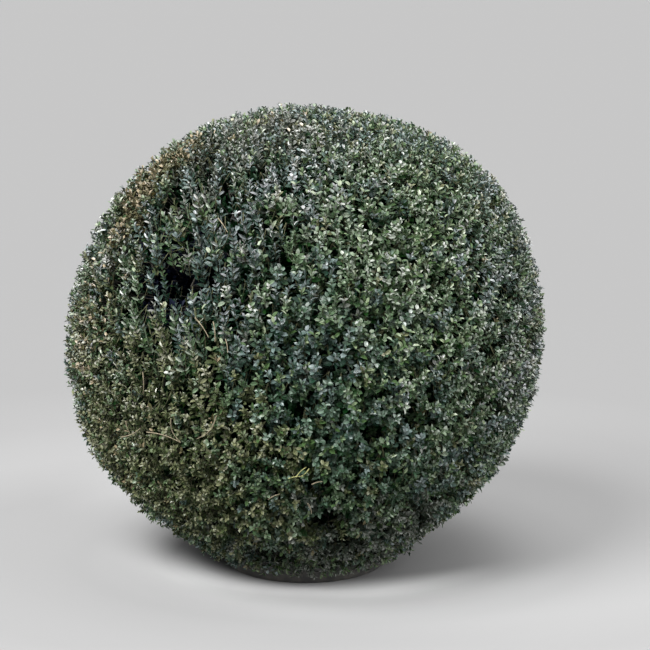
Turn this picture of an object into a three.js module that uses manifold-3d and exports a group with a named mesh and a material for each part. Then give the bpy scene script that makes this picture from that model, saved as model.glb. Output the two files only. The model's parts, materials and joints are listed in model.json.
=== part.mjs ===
// A clipped ball of boxwood in a plain pot, in millimetres, +Z up.
// The origin is the centre of the pot's flat underside, and the pot stands on z = 0.
// The shrub has one short stem in the soil, boughs that fan out in the bare inside of the ball,
// and one clipped mass of leafy twigs that has grown down over the rim and hides most of the pot.

import * as THREE from "three";
import { mergeVertices } from "three/addons/utils/BufferGeometryUtils.js";
import Module from "manifold-3d";

const wasm = await Module();
wasm.setup();

// Space left between neighbours that touch.
const TOUCH_GAP = 0.3;
// Cut and joined solids lose slivers smaller than this.
const SMALLEST_DETAIL = 0.02;
const MERGE_DISTANCE = 1e-3;

// Ball of foliage: radius to the clipped leaf tips, before the lobes.
const BALL_RADIUS = 492;
const BALL_CENTRE = new THREE.Vector3(0, 0, 485);
const CORE_SHARE = 0.9;
const CORE_DETAIL = 5;
const LOWEST_LEAF = 14;

// Where the clipped ball swells or is flat. Azimuth 0 is +X and 90 is +Y, in degrees.
const LOBES = [
  { azimuth: 0, elevation: 36, swell: 0.036, spread: 22 },
  { azimuth: 0, elevation: 88, swell: -0.018, spread: 24 },
  { azimuth: 180, elevation: -28, swell: 0.024, spread: 24 },
  { azimuth: 178, elevation: 6, swell: 0.012, spread: 20 },
  { azimuth: 2, elevation: -42, swell: -0.014, spread: 24 },
  { azimuth: 120, elevation: 20, swell: 0.022, spread: 26 },
  { azimuth: 62, elevation: -12, swell: -0.014, spread: 24 },
  { azimuth: -84, elevation: 14, swell: 0.014, spread: 30 },
];

// Pot: a plain tapered container with a turned-out lip.
const POT_HEIGHT = 320;
const POT_FOOT_RADIUS = 175;
const POT_RIM_RADIUS = 255;
const POT_WALL = 5;
const POT_FLOOR = 7;
const POT_FOOT_BEVEL = 5;
const LIP_OUT = 8;
const LIP_DROP = 24;
const LIP_EDGE = 4;
const POT_SIDES = 40;
const DRAIN_HOLES = 5;
const DRAIN_RADIUS = 9;
const DRAIN_RING_RADIUS = 120;
const DRAIN_SIDES = 10;

// Soil, banked up a little round the stem.
const SOIL_TOP = 296;
const SOIL_EDGE_DROP = 12;
const SOIL_FLAT_RADIUS = 78;
const SOIL_SHOULDER_DROP = 8;

// Stem: a short trunk with a root flare, leaning slightly.
const STEM_HEIGHT = 62;
const STEM_FOOT_RADIUS = 46;
const STEM_TOP_RADIUS = 27;
const STEM_CROWN_SHARE = 0.72;
const STEM_FLARE_HEIGHT = 20;
const STEM_LEAN = new THREE.Vector2(7, -4);
const STEM_FLUTES = 5;
const STEM_FLUTE_DEPTH = 0.14;
const STEM_SIDES = 20;
const STEM_RINGS = 7;

// Bare inside of the ball: a throat round the pot, and a dome over the soil.
const THROAT_CLEARANCE = 16;
const THROAT_LINING = 8;
const THROAT_BOTTOM = -40;
const DOME_RISE = 200;
const DOME_BASE = POT_HEIGHT + 10;
const DOME_ARCS = 6;
const DOME_SIDES = 32;

// Each level's limbs end on a shell at a share of the outline's radius. Lowest is the sine of
// the lowest elevation that the level reaches.
const BOUGHS = { limbs: 7, reach: 0.5, lowest: -0.2, shake: 0.1 };
const BRANCHES = { limbs: 32, reach: 0.64, lowest: -0.62, shake: 0.2 };
const STEMS = { limbs: 64, reach: 0.78, lowest: -0.84, shake: 0.2 };
const TWIGS = { limbs: 120, reach: 0.93, lowest: -0.88, shake: 0.16 };
const KNEE_DEPTH = 0.1;
const KNEE_PULL = 0.22;
const GROWTH_SEED = 1207;

const BOUGH_BASE_RADIUS = 14;
const BOUGH_END_RADIUS = 9;
const BOUGH_SIDES = 9;
const BOUGH_STEPS = 6;
const FORK_SPREAD_DOWN = 0.42;
const FORK_SPREAD_OUT = 9;
const BOUGH_RISE = 22;
const BOUGH_BELLY = 12;
const TWIG_BASE_RADIUS = 6;
const TWIG_END_RADIUS = 4;
const TWIG_SIDES = 3;

// Leaves, each standing for a small spray: one on each side of the twig and one at its tip.
const LEAF_LENGTH = 74;
const LEAF_WIDTH_SHARE = 0.54;
const LEAF_THICKNESS_SHARE = 0.045;
const LEAF_WIDEST_SHARE = 0.52;
const LEAF_FOLD_SHARE = 0.1;
const LEAF_ROOT_OFFSET = 0.8;
const TILT_SHAKE = 14;
const SIZE_SHAKE = 0.2;
const MOST_SHARE_OUT = 1.012;
const LEAF_PLACES = [
  { along: 0.72, tilt: 74, turn: 60, size: 1 },
  { along: 0.83, tilt: 72, turn: 180, size: 1 },
  { along: 0.93, tilt: 68, turn: 300, size: 0.95 },
  { along: 0.96, tilt: 24, turn: 0, size: 0.6 },
];

const GOLDEN_ANGLE = Math.PI * (3 - Math.sqrt(5));
const UP = new THREE.Vector3(0, 0, 1);

// Seeded random numbers from 0 to 1.
function seededRandom(seed) {
  let state = seed >>> 0;
  return () => {
    state = (state + 0x6d2b79f5) >>> 0;
    let mixed = Math.imul(state ^ (state >>> 15), state | 1);
    mixed ^= mixed + Math.imul(mixed ^ (mixed >>> 7), mixed | 61);
    return ((mixed ^ (mixed >>> 14)) >>> 0) / 4294967296;
  };
}

function directionOf(azimuth, elevation) {
  const a = THREE.MathUtils.degToRad(azimuth);
  const e = THREE.MathUtils.degToRad(elevation);
  return new THREE.Vector3(
    Math.cos(a) * Math.cos(e),
    Math.sin(a) * Math.cos(e),
    Math.sin(e),
  );
}

// Distance from the ball's centre to the clipped surface in a direction.
function outlineRadius(direction) {
  let share = 1;
  for (const lobe of LOBES) {
    const away = direction.angleTo(directionOf(lobe.azimuth, lobe.elevation));
    const spread = THREE.MathUtils.degToRad(lobe.spread);
    share += lobe.swell * Math.exp(-0.5 * (away / spread) ** 2);
  }
  return BALL_RADIUS * share;
}

// The point in a direction from the ball's centre, at a share of the outline's radius.
function shellPoint(direction, share) {
  return BALL_CENTRE.clone().addScaledVector(direction, outlineRadius(direction) * share);
}

// A point's distance from the ball's centre as a share of the outline's radius there.
function shareOut(point) {
  const offset = point.clone().sub(BALL_CENTRE);
  const distance = offset.length();
  return distance / outlineRadius(offset.normalize());
}

function potRadiusAt(z) {
  const share = THREE.MathUtils.clamp(z / POT_HEIGHT, 0, 1);
  return THREE.MathUtils.lerp(POT_FOOT_RADIUS, POT_RIM_RADIUS, share);
}

// Moves a point sideways out of the throat round the pot, if it is in it.
function clearOfPot(point) {
  if (point.z > DOME_BASE) return point;
  const least = potRadiusAt(point.z) + THROAT_CLEARANCE + THROAT_LINING;
  const across = Math.hypot(point.x, point.y);
  if (across >= least) return point;
  const scale = least / Math.max(across, 1);
  return new THREE.Vector3(point.x * scale, point.y * scale, point.z);
}

// Evenly spread directions, from the top down to the level's lowest, each shaken a little.
function spreadDirections(level, random) {
  const spacing = Math.sqrt((4 * Math.PI) / level.limbs);
  const directions = [];
  for (let i = 0; i < level.limbs; i++) {
    const height = 1 - ((1 - level.lowest) * (i + 0.5)) / level.limbs;
    const across = Math.sqrt(1 - height * height);
    const turn = i * GOLDEN_ANGLE;
    const direction = new THREE.Vector3(
      across * Math.cos(turn),
      across * Math.sin(turn),
      height,
    );
    const shaken = new THREE.Vector3(random(), random(), random())
      .subScalar(0.5)
      .multiplyScalar(2 * level.shake * spacing);
    directions.push(direction.add(shaken).normalize());
  }
  return directions;
}

// A level of growth: each limb runs from the nearest limb end of the level before, over a knee
// where it turns outwards, to its own end.
function growLevel(level, parents, random) {
  return spreadDirections(level, random).map((direction) => {
    let parent = parents[0];
    for (const other of parents)
      if (other.direction.dot(direction) > parent.direction.dot(direction))
        parent = other;
    const knee = shellPoint(direction, level.reach - KNEE_DEPTH);
    return {
      direction,
      start: parent.end,
      knee: clearOfPot(knee.lerp(parent.end, KNEE_PULL)),
      end: clearOfPot(shellPoint(direction, level.reach)),
    };
  });
}

// A closed limb along a curve, with a radius for each share of its length.
function limbGeometry(curve, radiusAt, sides, steps) {
  const frames = curve.computeFrenetFrames(steps);
  const positions = [];
  const faces = [];
  for (let i = 0; i <= steps; i++) {
    const centre = curve.getPointAt(i / steps);
    for (let j = 0; j < sides; j++) {
      const angle = (2 * Math.PI * j) / sides;
      const radius = radiusAt(i / steps, angle);
      const p = centre
        .clone()
        .addScaledVector(frames.normals[i], radius * Math.cos(angle))
        .addScaledVector(frames.binormals[i], radius * Math.sin(angle));
      positions.push(p.x, p.y, p.z);
    }
  }
  for (let i = 0; i < steps; i++)
    for (let j = 0; j < sides; j++) {
      const a = i * sides + j;
      const b = i * sides + ((j + 1) % sides);
      faces.push(a, b, b + sides, a, b + sides, a + sides);
    }
  for (let j = 1; j < sides - 1; j++) {
    const last = steps * sides;
    faces.push(0, j + 1, j, last, last + j, last + j + 1);
  }
  return new THREE.BufferGeometry()
    .setAttribute("position", new THREE.Float32BufferAttribute(positions, 3))
    .setIndex(faces);
}

// A leaf of eight faces: pointed at both ends, folded along its rib, its base at the origin,
// its tip along +Y and its upper side facing -Z.
function leafGeometry(length) {
  const half = (length * LEAF_WIDTH_SHARE) / 2;
  const widest = length * LEAF_WIDEST_SHARE;
  const fold = length * LEAF_FOLD_SHARE;
  const thick = length * LEAF_THICKNESS_SHARE;
  const positions = [
    ...[0, 0, 0],
    ...[0, length, 0],
    ...[-half, widest, -fold],
    ...[half, widest, -fold],
    ...[0, widest, thick / 2],
    ...[0, widest, -thick / 2],
  ];
  const faces = [
    ...[0, 3, 4, 4, 3, 1, 0, 4, 2, 4, 1, 2],
    ...[0, 5, 3, 5, 1, 3, 0, 2, 5, 5, 2, 1],
  ];
  return new THREE.BufferGeometry()
    .setAttribute("position", new THREE.Float32BufferAttribute(positions, 3))
    .setIndex(faces);
}

// A three.js geometry as a manifold solid, with its shared vertices merged.
function solidOf(geometry) {
  const bare = geometry.clone();
  bare.deleteAttribute("normal");
  bare.deleteAttribute("uv");
  const merged = mergeVertices(bare, MERGE_DISTANCE);
  return new wasm.Manifold(
    new wasm.Mesh({
      numProp: 3,
      vertProperties: new Float32Array(merged.attributes.position.array),
      triVerts: new Uint32Array(merged.index.array),
    }),
  );
}

// The largest body of a solid as a geometry: loose scraps are dropped and sealed hollows filled.
function geometryOf(solid) {
  let largest = null;
  for (const body of solid.simplify(SMALLEST_DETAIL).decompose())
    if (!largest || body.volume() > largest.volume()) largest = body;
  const mesh = largest.getMesh();
  return new THREE.BufferGeometry()
    .setAttribute(
      "position",
      new THREE.BufferAttribute(new Float32Array(mesh.vertProperties), 3),
    )
    .setIndex(new THREE.BufferAttribute(new Uint32Array(mesh.triVerts), 1));
}

// Joins solids in pairs, so that each join stays small.
function joinAll(solids) {
  let level = solids;
  while (level.length > 1) {
    const next = [];
    for (let i = 0; i < level.length; i += 2)
      next.push(i + 1 < level.length ? level[i].add(level[i + 1]) : level[i]);
    level = next;
  }
  return level[0];
}

// A turned solid from its (radius, height) profile, listed from the axis at the bottom
// outwards and up, and back to the axis.
function turnedGeometry(profile, sides) {
  const points = profile.map(([r, z]) => new THREE.Vector2(r, z));
  return new THREE.LatheGeometry(points, sides).rotateX(Math.PI / 2);
}

function potGeometry() {
  const wallBottom = potRadiusAt(POT_FLOOR) - POT_WALL;
  const wallTop = POT_RIM_RADIUS - POT_WALL;
  const lipBottom = POT_HEIGHT - LIP_DROP;
  const body = solidOf(
    turnedGeometry(
      [
        [0, 0],
        [POT_FOOT_RADIUS - POT_FOOT_BEVEL, 0],
        [POT_FOOT_RADIUS, POT_FOOT_BEVEL],
        [potRadiusAt(lipBottom), lipBottom],
        [potRadiusAt(lipBottom) + LIP_OUT, lipBottom + LIP_EDGE],
        [POT_RIM_RADIUS + LIP_OUT, POT_HEIGHT - LIP_EDGE],
        [POT_RIM_RADIUS + LIP_OUT - LIP_EDGE, POT_HEIGHT],
        [wallTop + LIP_EDGE / 2, POT_HEIGHT],
        [wallTop, POT_HEIGHT - LIP_EDGE],
        [wallBottom, POT_FLOOR],
        [0, POT_FLOOR],
      ],
      POT_SIDES,
    ),
  );
  const holes = [];
  for (let i = 0; i < DRAIN_HOLES; i++) {
    const turn = (2 * Math.PI * i) / DRAIN_HOLES;
    const hole = new THREE.CylinderGeometry(
      DRAIN_RADIUS,
      DRAIN_RADIUS,
      4 * POT_FLOOR,
      DRAIN_SIDES,
    );
    hole.rotateX(Math.PI / 2);
    hole.translate(
      DRAIN_RING_RADIUS * Math.cos(turn),
      DRAIN_RING_RADIUS * Math.sin(turn),
      0,
    );
    holes.push(solidOf(hole));
  }
  return geometryOf(body.subtract(joinAll(holes)));
}

function soilGeometry() {
  const bottom = POT_FLOOR + TOUCH_GAP;
  const edgeTop = SOIL_TOP - SOIL_EDGE_DROP;
  const insideAt = (z) => potRadiusAt(z) - POT_WALL - 2 * TOUCH_GAP;
  return turnedGeometry(
    [
      [0, bottom],
      [insideAt(bottom), bottom],
      [insideAt(edgeTop), edgeTop],
      [(SOIL_FLAT_RADIUS + POT_RIM_RADIUS) / 2, SOIL_TOP - SOIL_SHOULDER_DROP],
      [SOIL_FLAT_RADIUS, SOIL_TOP],
      [0, SOIL_TOP],
    ],
    POT_SIDES,
  );
}

// The stem's axis at a share of its height.
function stemPoint(share) {
  return new THREE.Vector3(
    STEM_LEAN.x * share * share,
    STEM_LEAN.y * share * share,
    SOIL_TOP + TOUCH_GAP + STEM_HEIGHT * share,
  );
}

// The stem, or with extra the stem grown by that much all over, for cutting its neighbours.
function stemGeometry(extra) {
  const positions = [];
  const faces = [];
  for (let i = 0; i <= STEM_RINGS; i++) {
    const share = i / STEM_RINGS;
    const centre = stemPoint(share);
    const flare = Math.exp((-share * STEM_HEIGHT) / STEM_FLARE_HEIGHT);
    const crown = i === STEM_RINGS ? STEM_CROWN_SHARE : 1;
    const base = THREE.MathUtils.lerp(STEM_TOP_RADIUS, STEM_FOOT_RADIUS, flare) * crown;
    for (let j = 0; j < STEM_SIDES; j++) {
      const angle = (2 * Math.PI * j) / STEM_SIDES;
      const flute = 1 + STEM_FLUTE_DEPTH * flare * Math.cos(STEM_FLUTES * angle);
      const radius = base * flute + extra;
      positions.push(
        centre.x + radius * Math.cos(angle),
        centre.y + radius * Math.sin(angle),
        centre.z + (i === STEM_RINGS ? extra : 0),
      );
    }
  }
  for (let i = 0; i < STEM_RINGS; i++)
    for (let j = 0; j < STEM_SIDES; j++) {
      const a = i * STEM_SIDES + j;
      const b = i * STEM_SIDES + ((j + 1) % STEM_SIDES);
      faces.push(a, b, b + STEM_SIDES, a, b + STEM_SIDES, a + STEM_SIDES);
    }
  for (let j = 1; j < STEM_SIDES - 1; j++) {
    const last = STEM_RINGS * STEM_SIDES;
    faces.push(0, j + 1, j, last, last + j, last + j + 1);
  }
  return new THREE.BufferGeometry()
    .setAttribute("position", new THREE.Float32BufferAttribute(positions, 3))
    .setIndex(faces);
}

// The bare space inside the ball, made smaller by inset on every side.
function insideGeometry(inset) {
  const clearance = THROAT_CLEARANCE - inset;
  const domeRadius = potRadiusAt(POT_HEIGHT) + clearance;
  const profile = [
    [0, THROAT_BOTTOM],
    [POT_FOOT_RADIUS + clearance, THROAT_BOTTOM],
    [POT_FOOT_RADIUS + clearance, 0],
  ];
  for (let i = 0; i <= DOME_ARCS; i++) {
    const angle = (Math.PI / 2) * (i / DOME_ARCS);
    const radius = i === DOME_ARCS ? 0 : domeRadius * Math.cos(angle);
    profile.push([radius, DOME_BASE + (DOME_RISE - inset) * Math.sin(angle)]);
  }
  return turnedGeometry(profile, DOME_SIDES);
}

// A bough's path, from inside the stem's top to its end in the mass. The boughs are listed
// from the most upright to the flattest, and the flatter ones fork off lower.
function boughCurve(bough, index) {
  const outward = new THREE.Vector3(bough.end.x, bough.end.y, 0).normalize();
  const rank = index / (BOUGHS.limbs - 1);
  const root = stemPoint(1 - FORK_SPREAD_DOWN * rank);
  root.addScaledVector(outward, FORK_SPREAD_OUT * rank);
  const middle = root.clone().lerp(bough.end, 0.5);
  middle.addScaledVector(UP, BOUGH_RISE * rank).addScaledVector(outward, BOUGH_BELLY);
  return new THREE.CatmullRomCurve3([root, middle, bough.end]);
}

function boughSolid(bough, index, extra) {
  const radiusAt = (share) =>
    THREE.MathUtils.lerp(BOUGH_BASE_RADIUS, BOUGH_END_RADIUS, share) + extra;
  return solidOf(
    limbGeometry(boughCurve(bough, index), radiusAt, BOUGH_SIDES, BOUGH_STEPS),
  );
}

// Boughs as the space inside the ball shows them: each is cut clear of the stem, of the
// boughs before it, and of the mass that it enters.
function boughGeometries(boughs) {
  const inside = solidOf(insideGeometry(TOUCH_GAP));
  let taken = solidOf(stemGeometry(TOUCH_GAP));
  return boughs.map((bough, index) => {
    const shown = boughSolid(bough, index, 0).intersect(inside).subtract(taken);
    taken = taken.add(boughSolid(bough, index, TOUCH_GAP));
    return geometryOf(shown);
  });
}

// The solid middle of the clipped mass.
function coreSolid() {
  const geometry = new THREE.IcosahedronGeometry(1, CORE_DETAIL);
  const positions = geometry.getAttribute("position");
  const p = new THREE.Vector3();
  for (let i = 0; i < positions.count; i++) {
    p.fromBufferAttribute(positions, i).normalize();
    p.multiplyScalar(outlineRadius(p) * CORE_SHARE).add(BALL_CENTRE);
    positions.setXYZ(i, p.x, p.y, p.z);
  }
  return solidOf(geometry);
}

// The frame of a twig's outer part: its knee at the origin and its tip along +Y.
function twigFrame(twig) {
  const along = twig.end.clone().sub(twig.knee).normalize();
  const across = new THREE.Vector3().crossVectors(along, UP).normalize();
  const third = new THREE.Vector3().crossVectors(across, along);
  return new THREE.Matrix4().makeBasis(across, along, third).setPosition(twig.knee);
}

// Whether a leaf's tip stays in the ball, off the pot and off the ground.
function hasRoom(tip) {
  const throat = potRadiusAt(tip.z) + THROAT_CLEARANCE;
  const inThroat = tip.z < DOME_BASE && Math.hypot(tip.x, tip.y) < throat;
  return shareOut(tip) <= MOST_SHARE_OUT && tip.z >= LOWEST_LEAF && !inThroat;
}

// A twig with its leaves fused on, or nothing where none of them has room.
function sprayPieces(twig, random) {
  const frame = twigFrame(twig);
  const twigLength = twig.knee.distanceTo(twig.end);
  const roll = random() * 2 * Math.PI;
  const leaves = [];
  for (const place of LEAF_PLACES) {
    const tilt = THREE.MathUtils.degToRad(place.tilt + TILT_SHAKE * (random() - 0.5));
    const turn = THREE.MathUtils.degToRad(place.turn) + roll;
    const length = LEAF_LENGTH * place.size * (1 + SIZE_SHAKE * (random() - 0.5));
    const leaf = leafGeometry(length)
      .rotateX(tilt)
      .translate(0, twigLength * place.along, LEAF_ROOT_OFFSET)
      .rotateY(turn)
      .applyMatrix4(frame);
    const tip = new THREE.Vector3().fromBufferAttribute(leaf.getAttribute("position"), 1);
    if (hasRoom(tip)) leaves.push(solidOf(leaf));
  }
  if (!leaves.length) return [];
  const rod = new THREE.CylinderGeometry(
    TWIG_END_RADIUS,
    TWIG_BASE_RADIUS,
    twigLength,
    TWIG_SIDES,
  );
  rod.translate(0, twigLength / 2, 0).rotateY(roll).applyMatrix4(frame);
  return [joinAll([solidOf(rod), ...leaves])];
}

function foliageGeometry(twigs, random) {
  const sprays = twigs.flatMap((twig) => sprayPieces(twig, random));
  const mass = joinAll([coreSolid(), ...sprays]).subtract(solidOf(insideGeometry(0)));
  return geometryOf(mass);
}

// Growth from the fork outwards.
const random = seededRandom(GROWTH_SEED);
const fork = { direction: UP, end: stemPoint(1) };
const boughs = growLevel(BOUGHS, [fork], random);
const branches = growLevel(BRANCHES, boughs, random);
const stems = growLevel(STEMS, branches, random);
const twigs = growLevel(TWIGS, stems, random);

const MATERIALS = {
  pot: new THREE.MeshStandardMaterial({
    color: 0x2b2c2d,
    roughness: 0.62,
    metalness: 0,
  }),
  soil: new THREE.MeshStandardMaterial({
    color: 0x2e221a,
    roughness: 0.95,
    metalness: 0,
  }),
  bark: new THREE.MeshStandardMaterial({
    color: 0x8a7a5e,
    roughness: 0.85,
    metalness: 0,
  }),
  leaf: new THREE.MeshStandardMaterial({
    color: 0x3f5638,
    roughness: 0.5,
    metalness: 0,
  }),
};

const part = new THREE.Group();

function addMesh(name, geometry, material) {
  const mesh = new THREE.Mesh(geometry, material);
  mesh.name = name;
  part.add(mesh);
}

addMesh("pot", potGeometry(), MATERIALS.pot);
addMesh("soil", soilGeometry(), MATERIALS.soil);
addMesh("stem", stemGeometry(0), MATERIALS.bark);
boughGeometries(boughs).forEach((geometry, index) =>
  addMesh(`bough_${index + 1}`, geometry, MATERIALS.bark),
);
addMesh("foliage_ball", foliageGeometry(twigs, random), MATERIALS.leaf);

export default part;
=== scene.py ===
# %% [markdown]
# # A clipped ball of boxwood in its pot
#
# The object is one evergreen shrub, clipped to a ball about a metre across, in a plain charcoal pot
# that the ball has grown down over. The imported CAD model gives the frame: pot, soil, stem, boughs,
# and one solid ball of foliage with a few large leaves. This lesson grows the real surface on it:
# about 140,000 leaves on fine twigs. They could be scattered over a sphere. Here they follow the
# CAD model's own rule, carried on to finer limbs, so every leaf's twig leads back to the stem.

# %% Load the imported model
import json
import math
from collections import namedtuple

import bmesh
import bpy
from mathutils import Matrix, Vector, kdtree, noise

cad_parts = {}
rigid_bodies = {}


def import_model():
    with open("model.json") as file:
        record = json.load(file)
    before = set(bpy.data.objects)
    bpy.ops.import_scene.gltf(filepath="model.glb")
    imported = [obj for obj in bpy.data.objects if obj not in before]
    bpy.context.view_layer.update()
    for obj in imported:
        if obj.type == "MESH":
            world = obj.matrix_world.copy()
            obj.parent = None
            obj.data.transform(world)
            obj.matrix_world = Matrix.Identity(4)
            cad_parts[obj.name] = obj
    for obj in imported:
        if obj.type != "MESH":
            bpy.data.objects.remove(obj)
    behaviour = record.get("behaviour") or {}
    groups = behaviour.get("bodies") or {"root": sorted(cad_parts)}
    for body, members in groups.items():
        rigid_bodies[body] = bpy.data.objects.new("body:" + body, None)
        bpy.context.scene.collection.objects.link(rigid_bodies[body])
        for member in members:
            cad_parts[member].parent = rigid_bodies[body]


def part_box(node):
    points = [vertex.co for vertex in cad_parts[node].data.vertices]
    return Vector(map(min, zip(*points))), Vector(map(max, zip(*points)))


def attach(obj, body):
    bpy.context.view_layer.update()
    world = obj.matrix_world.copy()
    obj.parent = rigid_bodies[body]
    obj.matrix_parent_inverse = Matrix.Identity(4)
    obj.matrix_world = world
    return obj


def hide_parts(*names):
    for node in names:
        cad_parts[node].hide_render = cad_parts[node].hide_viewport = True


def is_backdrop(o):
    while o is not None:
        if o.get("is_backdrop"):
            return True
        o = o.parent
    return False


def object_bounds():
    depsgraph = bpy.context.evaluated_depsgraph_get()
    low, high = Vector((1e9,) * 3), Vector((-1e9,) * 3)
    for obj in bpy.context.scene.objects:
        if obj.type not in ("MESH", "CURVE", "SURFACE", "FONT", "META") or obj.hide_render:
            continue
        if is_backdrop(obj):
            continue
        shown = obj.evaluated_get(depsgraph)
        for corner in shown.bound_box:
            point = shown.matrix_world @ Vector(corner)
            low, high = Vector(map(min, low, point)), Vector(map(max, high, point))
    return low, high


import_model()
cad_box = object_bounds()
pot_high, soil_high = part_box("pot")[1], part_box("soil")[1]
stem_low, stem_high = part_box("stem")
print("CAD box", [round(side, 3) for side in cad_box[1] - cad_box[0]])

# %% [markdown]
# ## Camera
#
# The photograph looks slightly down on the ball with a long lens. A shifted lens could put the ball
# where the picture has it, but the shift would stay on from the other sides. So the camera is aimed
# a little beside the ball instead.

# %% Place the camera
FRAME_PIXELS = 650
BALL_RADIUS = 0.492
BALL_CENTRE = Vector((0, 0, 0.485))
CAMERA_ELEVATION = math.radians(13)
CAMERA_DISTANCE = 4.2
BALL_RADIUS_PIXELS = 236.5
BALL_CENTRE_PIXEL = (305.5, 335.5)


def new_object(name, data):
    """An object that stands in the scene."""
    made = bpy.data.objects.new(name, data)
    bpy.context.scene.collection.objects.link(made)
    return made


right = Vector((1, 0, 0))
towards_camera = Vector((0, -math.cos(CAMERA_ELEVATION), math.sin(CAMERA_ELEVATION)))
picture_up = Vector((0, math.sin(CAMERA_ELEVATION), math.cos(CAMERA_ELEVATION)))

slope_per_pixel = math.tan(math.asin(BALL_RADIUS / CAMERA_DISTANCE)) / BALL_RADIUS_PIXELS
metres_per_pixel = slope_per_pixel * CAMERA_DISTANCE
aim = BALL_CENTRE + right * (FRAME_PIXELS / 2 - BALL_CENTRE_PIXEL[0]) * metres_per_pixel
aim = aim + picture_up * (BALL_CENTRE_PIXEL[1] - FRAME_PIXELS / 2) * metres_per_pixel

camera_data = bpy.data.cameras.new("camera")
camera_data.lens = camera_data.sensor_width / (FRAME_PIXELS * slope_per_pixel)
camera = new_object("camera", camera_data)
camera.location = BALL_CENTRE + towards_camera * CAMERA_DISTANCE
camera.rotation_euler = (aim - camera.location).to_track_quat("-Z", "Y").to_euler()
bpy.context.scene.camera = camera
print("lens", round(camera_data.lens, 1), "mm,", round(metres_per_pixel * 1000, 2), "mm per pixel")

# %% [markdown]
# ## Node graphs as expressions
#
# Materials and Geometry Nodes trees are both graphs of nodes. They could be drawn in the node
# editor, but a script can be read and run again. One small class wraps an output socket, so that
# sums and products on it add Math nodes, and one method adds every other kind of node.

# %% A socket that can be used in a sum


def find_socket(sockets, key):
    shown = [socket for socket in sockets if socket.enabled]
    return shown[key] if isinstance(key, int) else next(s for s in shown if s.name == key)


def operator(operation, reflected=False):
    def method(self, other):
        pair = (other, self) if reflected else (self, other)
        return self.graph.maths(operation, *pair)

    return method


class Wire:
    """An output socket that sums and products can be written with."""

    __add__, __radd__ = operator("ADD"), operator("ADD", True)
    __sub__, __rsub__ = operator("SUBTRACT"), operator("SUBTRACT", True)
    __mul__, __rmul__ = operator("MULTIPLY"), operator("MULTIPLY", True)
    __truediv__ = operator("DIVIDE")

    def __init__(self, graph, socket):
        self.graph = graph
        self.socket = socket


# %% A graph that nodes are added to


class Graph:
    """A node tree with one method for any node and one for the maths."""

    def __init__(self, tree):
        self.tree = tree
        tree.nodes.clear()

    def feed(self, socket, value):
        if isinstance(value, Wire):
            self.tree.links.new(value.socket, socket)
        else:
            socket.default_value = value

    def add(self, kind, inputs=None, output=0, **settings):
        node = self.tree.nodes.new(kind)
        for name, value in settings.items():
            if name == "stops":
                self.set_stops(node.color_ramp, value)
            else:
                setattr(node, name, value)
        for key, value in (inputs or {}).items():
            self.feed(find_socket(node.inputs, key), value)
        has_output = any(socket.enabled for socket in node.outputs)
        return Wire(self, find_socket(node.outputs, output)) if has_output else None

    def set_stops(self, ramp, stops):
        while len(ramp.elements) > 1:
            ramp.elements.remove(ramp.elements[-1])
        for place, (position, colour) in enumerate(stops):
            element = ramp.elements[0] if place == 0 else ramp.elements.new(position)
            element.position = position
            element.color = (*colour, 1)

    def maths(self, operation, first, second):
        kind, values = "ShaderNodeMath", (first, second)
        if any(isinstance(v, Wire) and v.socket.type == "VECTOR" for v in values):
            kind = "ShaderNodeVectorMath"
            values = [v if isinstance(v, (Wire, tuple)) else (v, v, v) for v in values]
        return self.add(kind, dict(enumerate(values)), operation=operation)

    def mix(self, factor, first, second):
        inputs = {"Factor": factor, "A": first, "B": second}
        return self.add("ShaderNodeMix", inputs, "Result", data_type="RGBA")


# %% [markdown]
# A material is a graph that ends in the Principled shader. Numbers that are the same all over go
# straight on its sockets, and only what changes over the surface is wired in.

# %% Helpers for materials


def new_material(name):
    material = bpy.data.materials.new(name)
    material.use_nodes = True
    return material, Graph(material.node_tree)


def finish_material(graph, inputs):
    surface = graph.add("ShaderNodeBsdfPrincipled", inputs, "BSDF")
    graph.add("ShaderNodeOutputMaterial", {"Surface": surface})


def object_place(graph):
    return graph.add("ShaderNodeTexCoord", None, "Object")


def part_of(graph, vector, axis):
    return graph.add("ShaderNodeSeparateXYZ", {"Vector": vector}, axis)


def cloudy(graph, place, scale, detail, roughness):
    inputs = {"Vector": place, "Scale": scale, "Detail": detail, "Roughness": roughness}
    return graph.add("ShaderNodeTexNoise", inputs, "Fac")


def between(graph, value, low, high):
    """Turns the stretch from low to high into 0 to 1, held at the ends."""
    inputs = {"Value": value, "From Min": low, "From Max": high}
    return graph.add("ShaderNodeMapRange", inputs, interpolation_type="SMOOTHSTEP")


def bumpy(graph, height, strength, distance):
    inputs = {"Strength": strength, "Distance": distance, "Height": height}
    return graph.add("ShaderNodeBump", inputs)


def grey(tone):
    return (tone, tone, tone, 1)


def opaque(colour):
    return (*colour, 1)


# %% [markdown]
# ## Studio
#
# The photograph has a plain pale ground that fades into the background, a soft shadow to the right
# and a dark contact shadow under the ball. A curved backdrop would hide the ball from behind, so
# the ground is one wide disc, and the sky that the camera sees has the tone of its far edge. A wide
# sun gives the soft shadow, and the sky fills it. Paint on the ground helps them: its tone changes
# with the distance from the pot, in one way at the right, another at the left and a third in front.

# %% Build the ground
GROUND_RADIUS = 60.0
GROUND_SIDES = 96
GROUND_SPAN = 4.0
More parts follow.
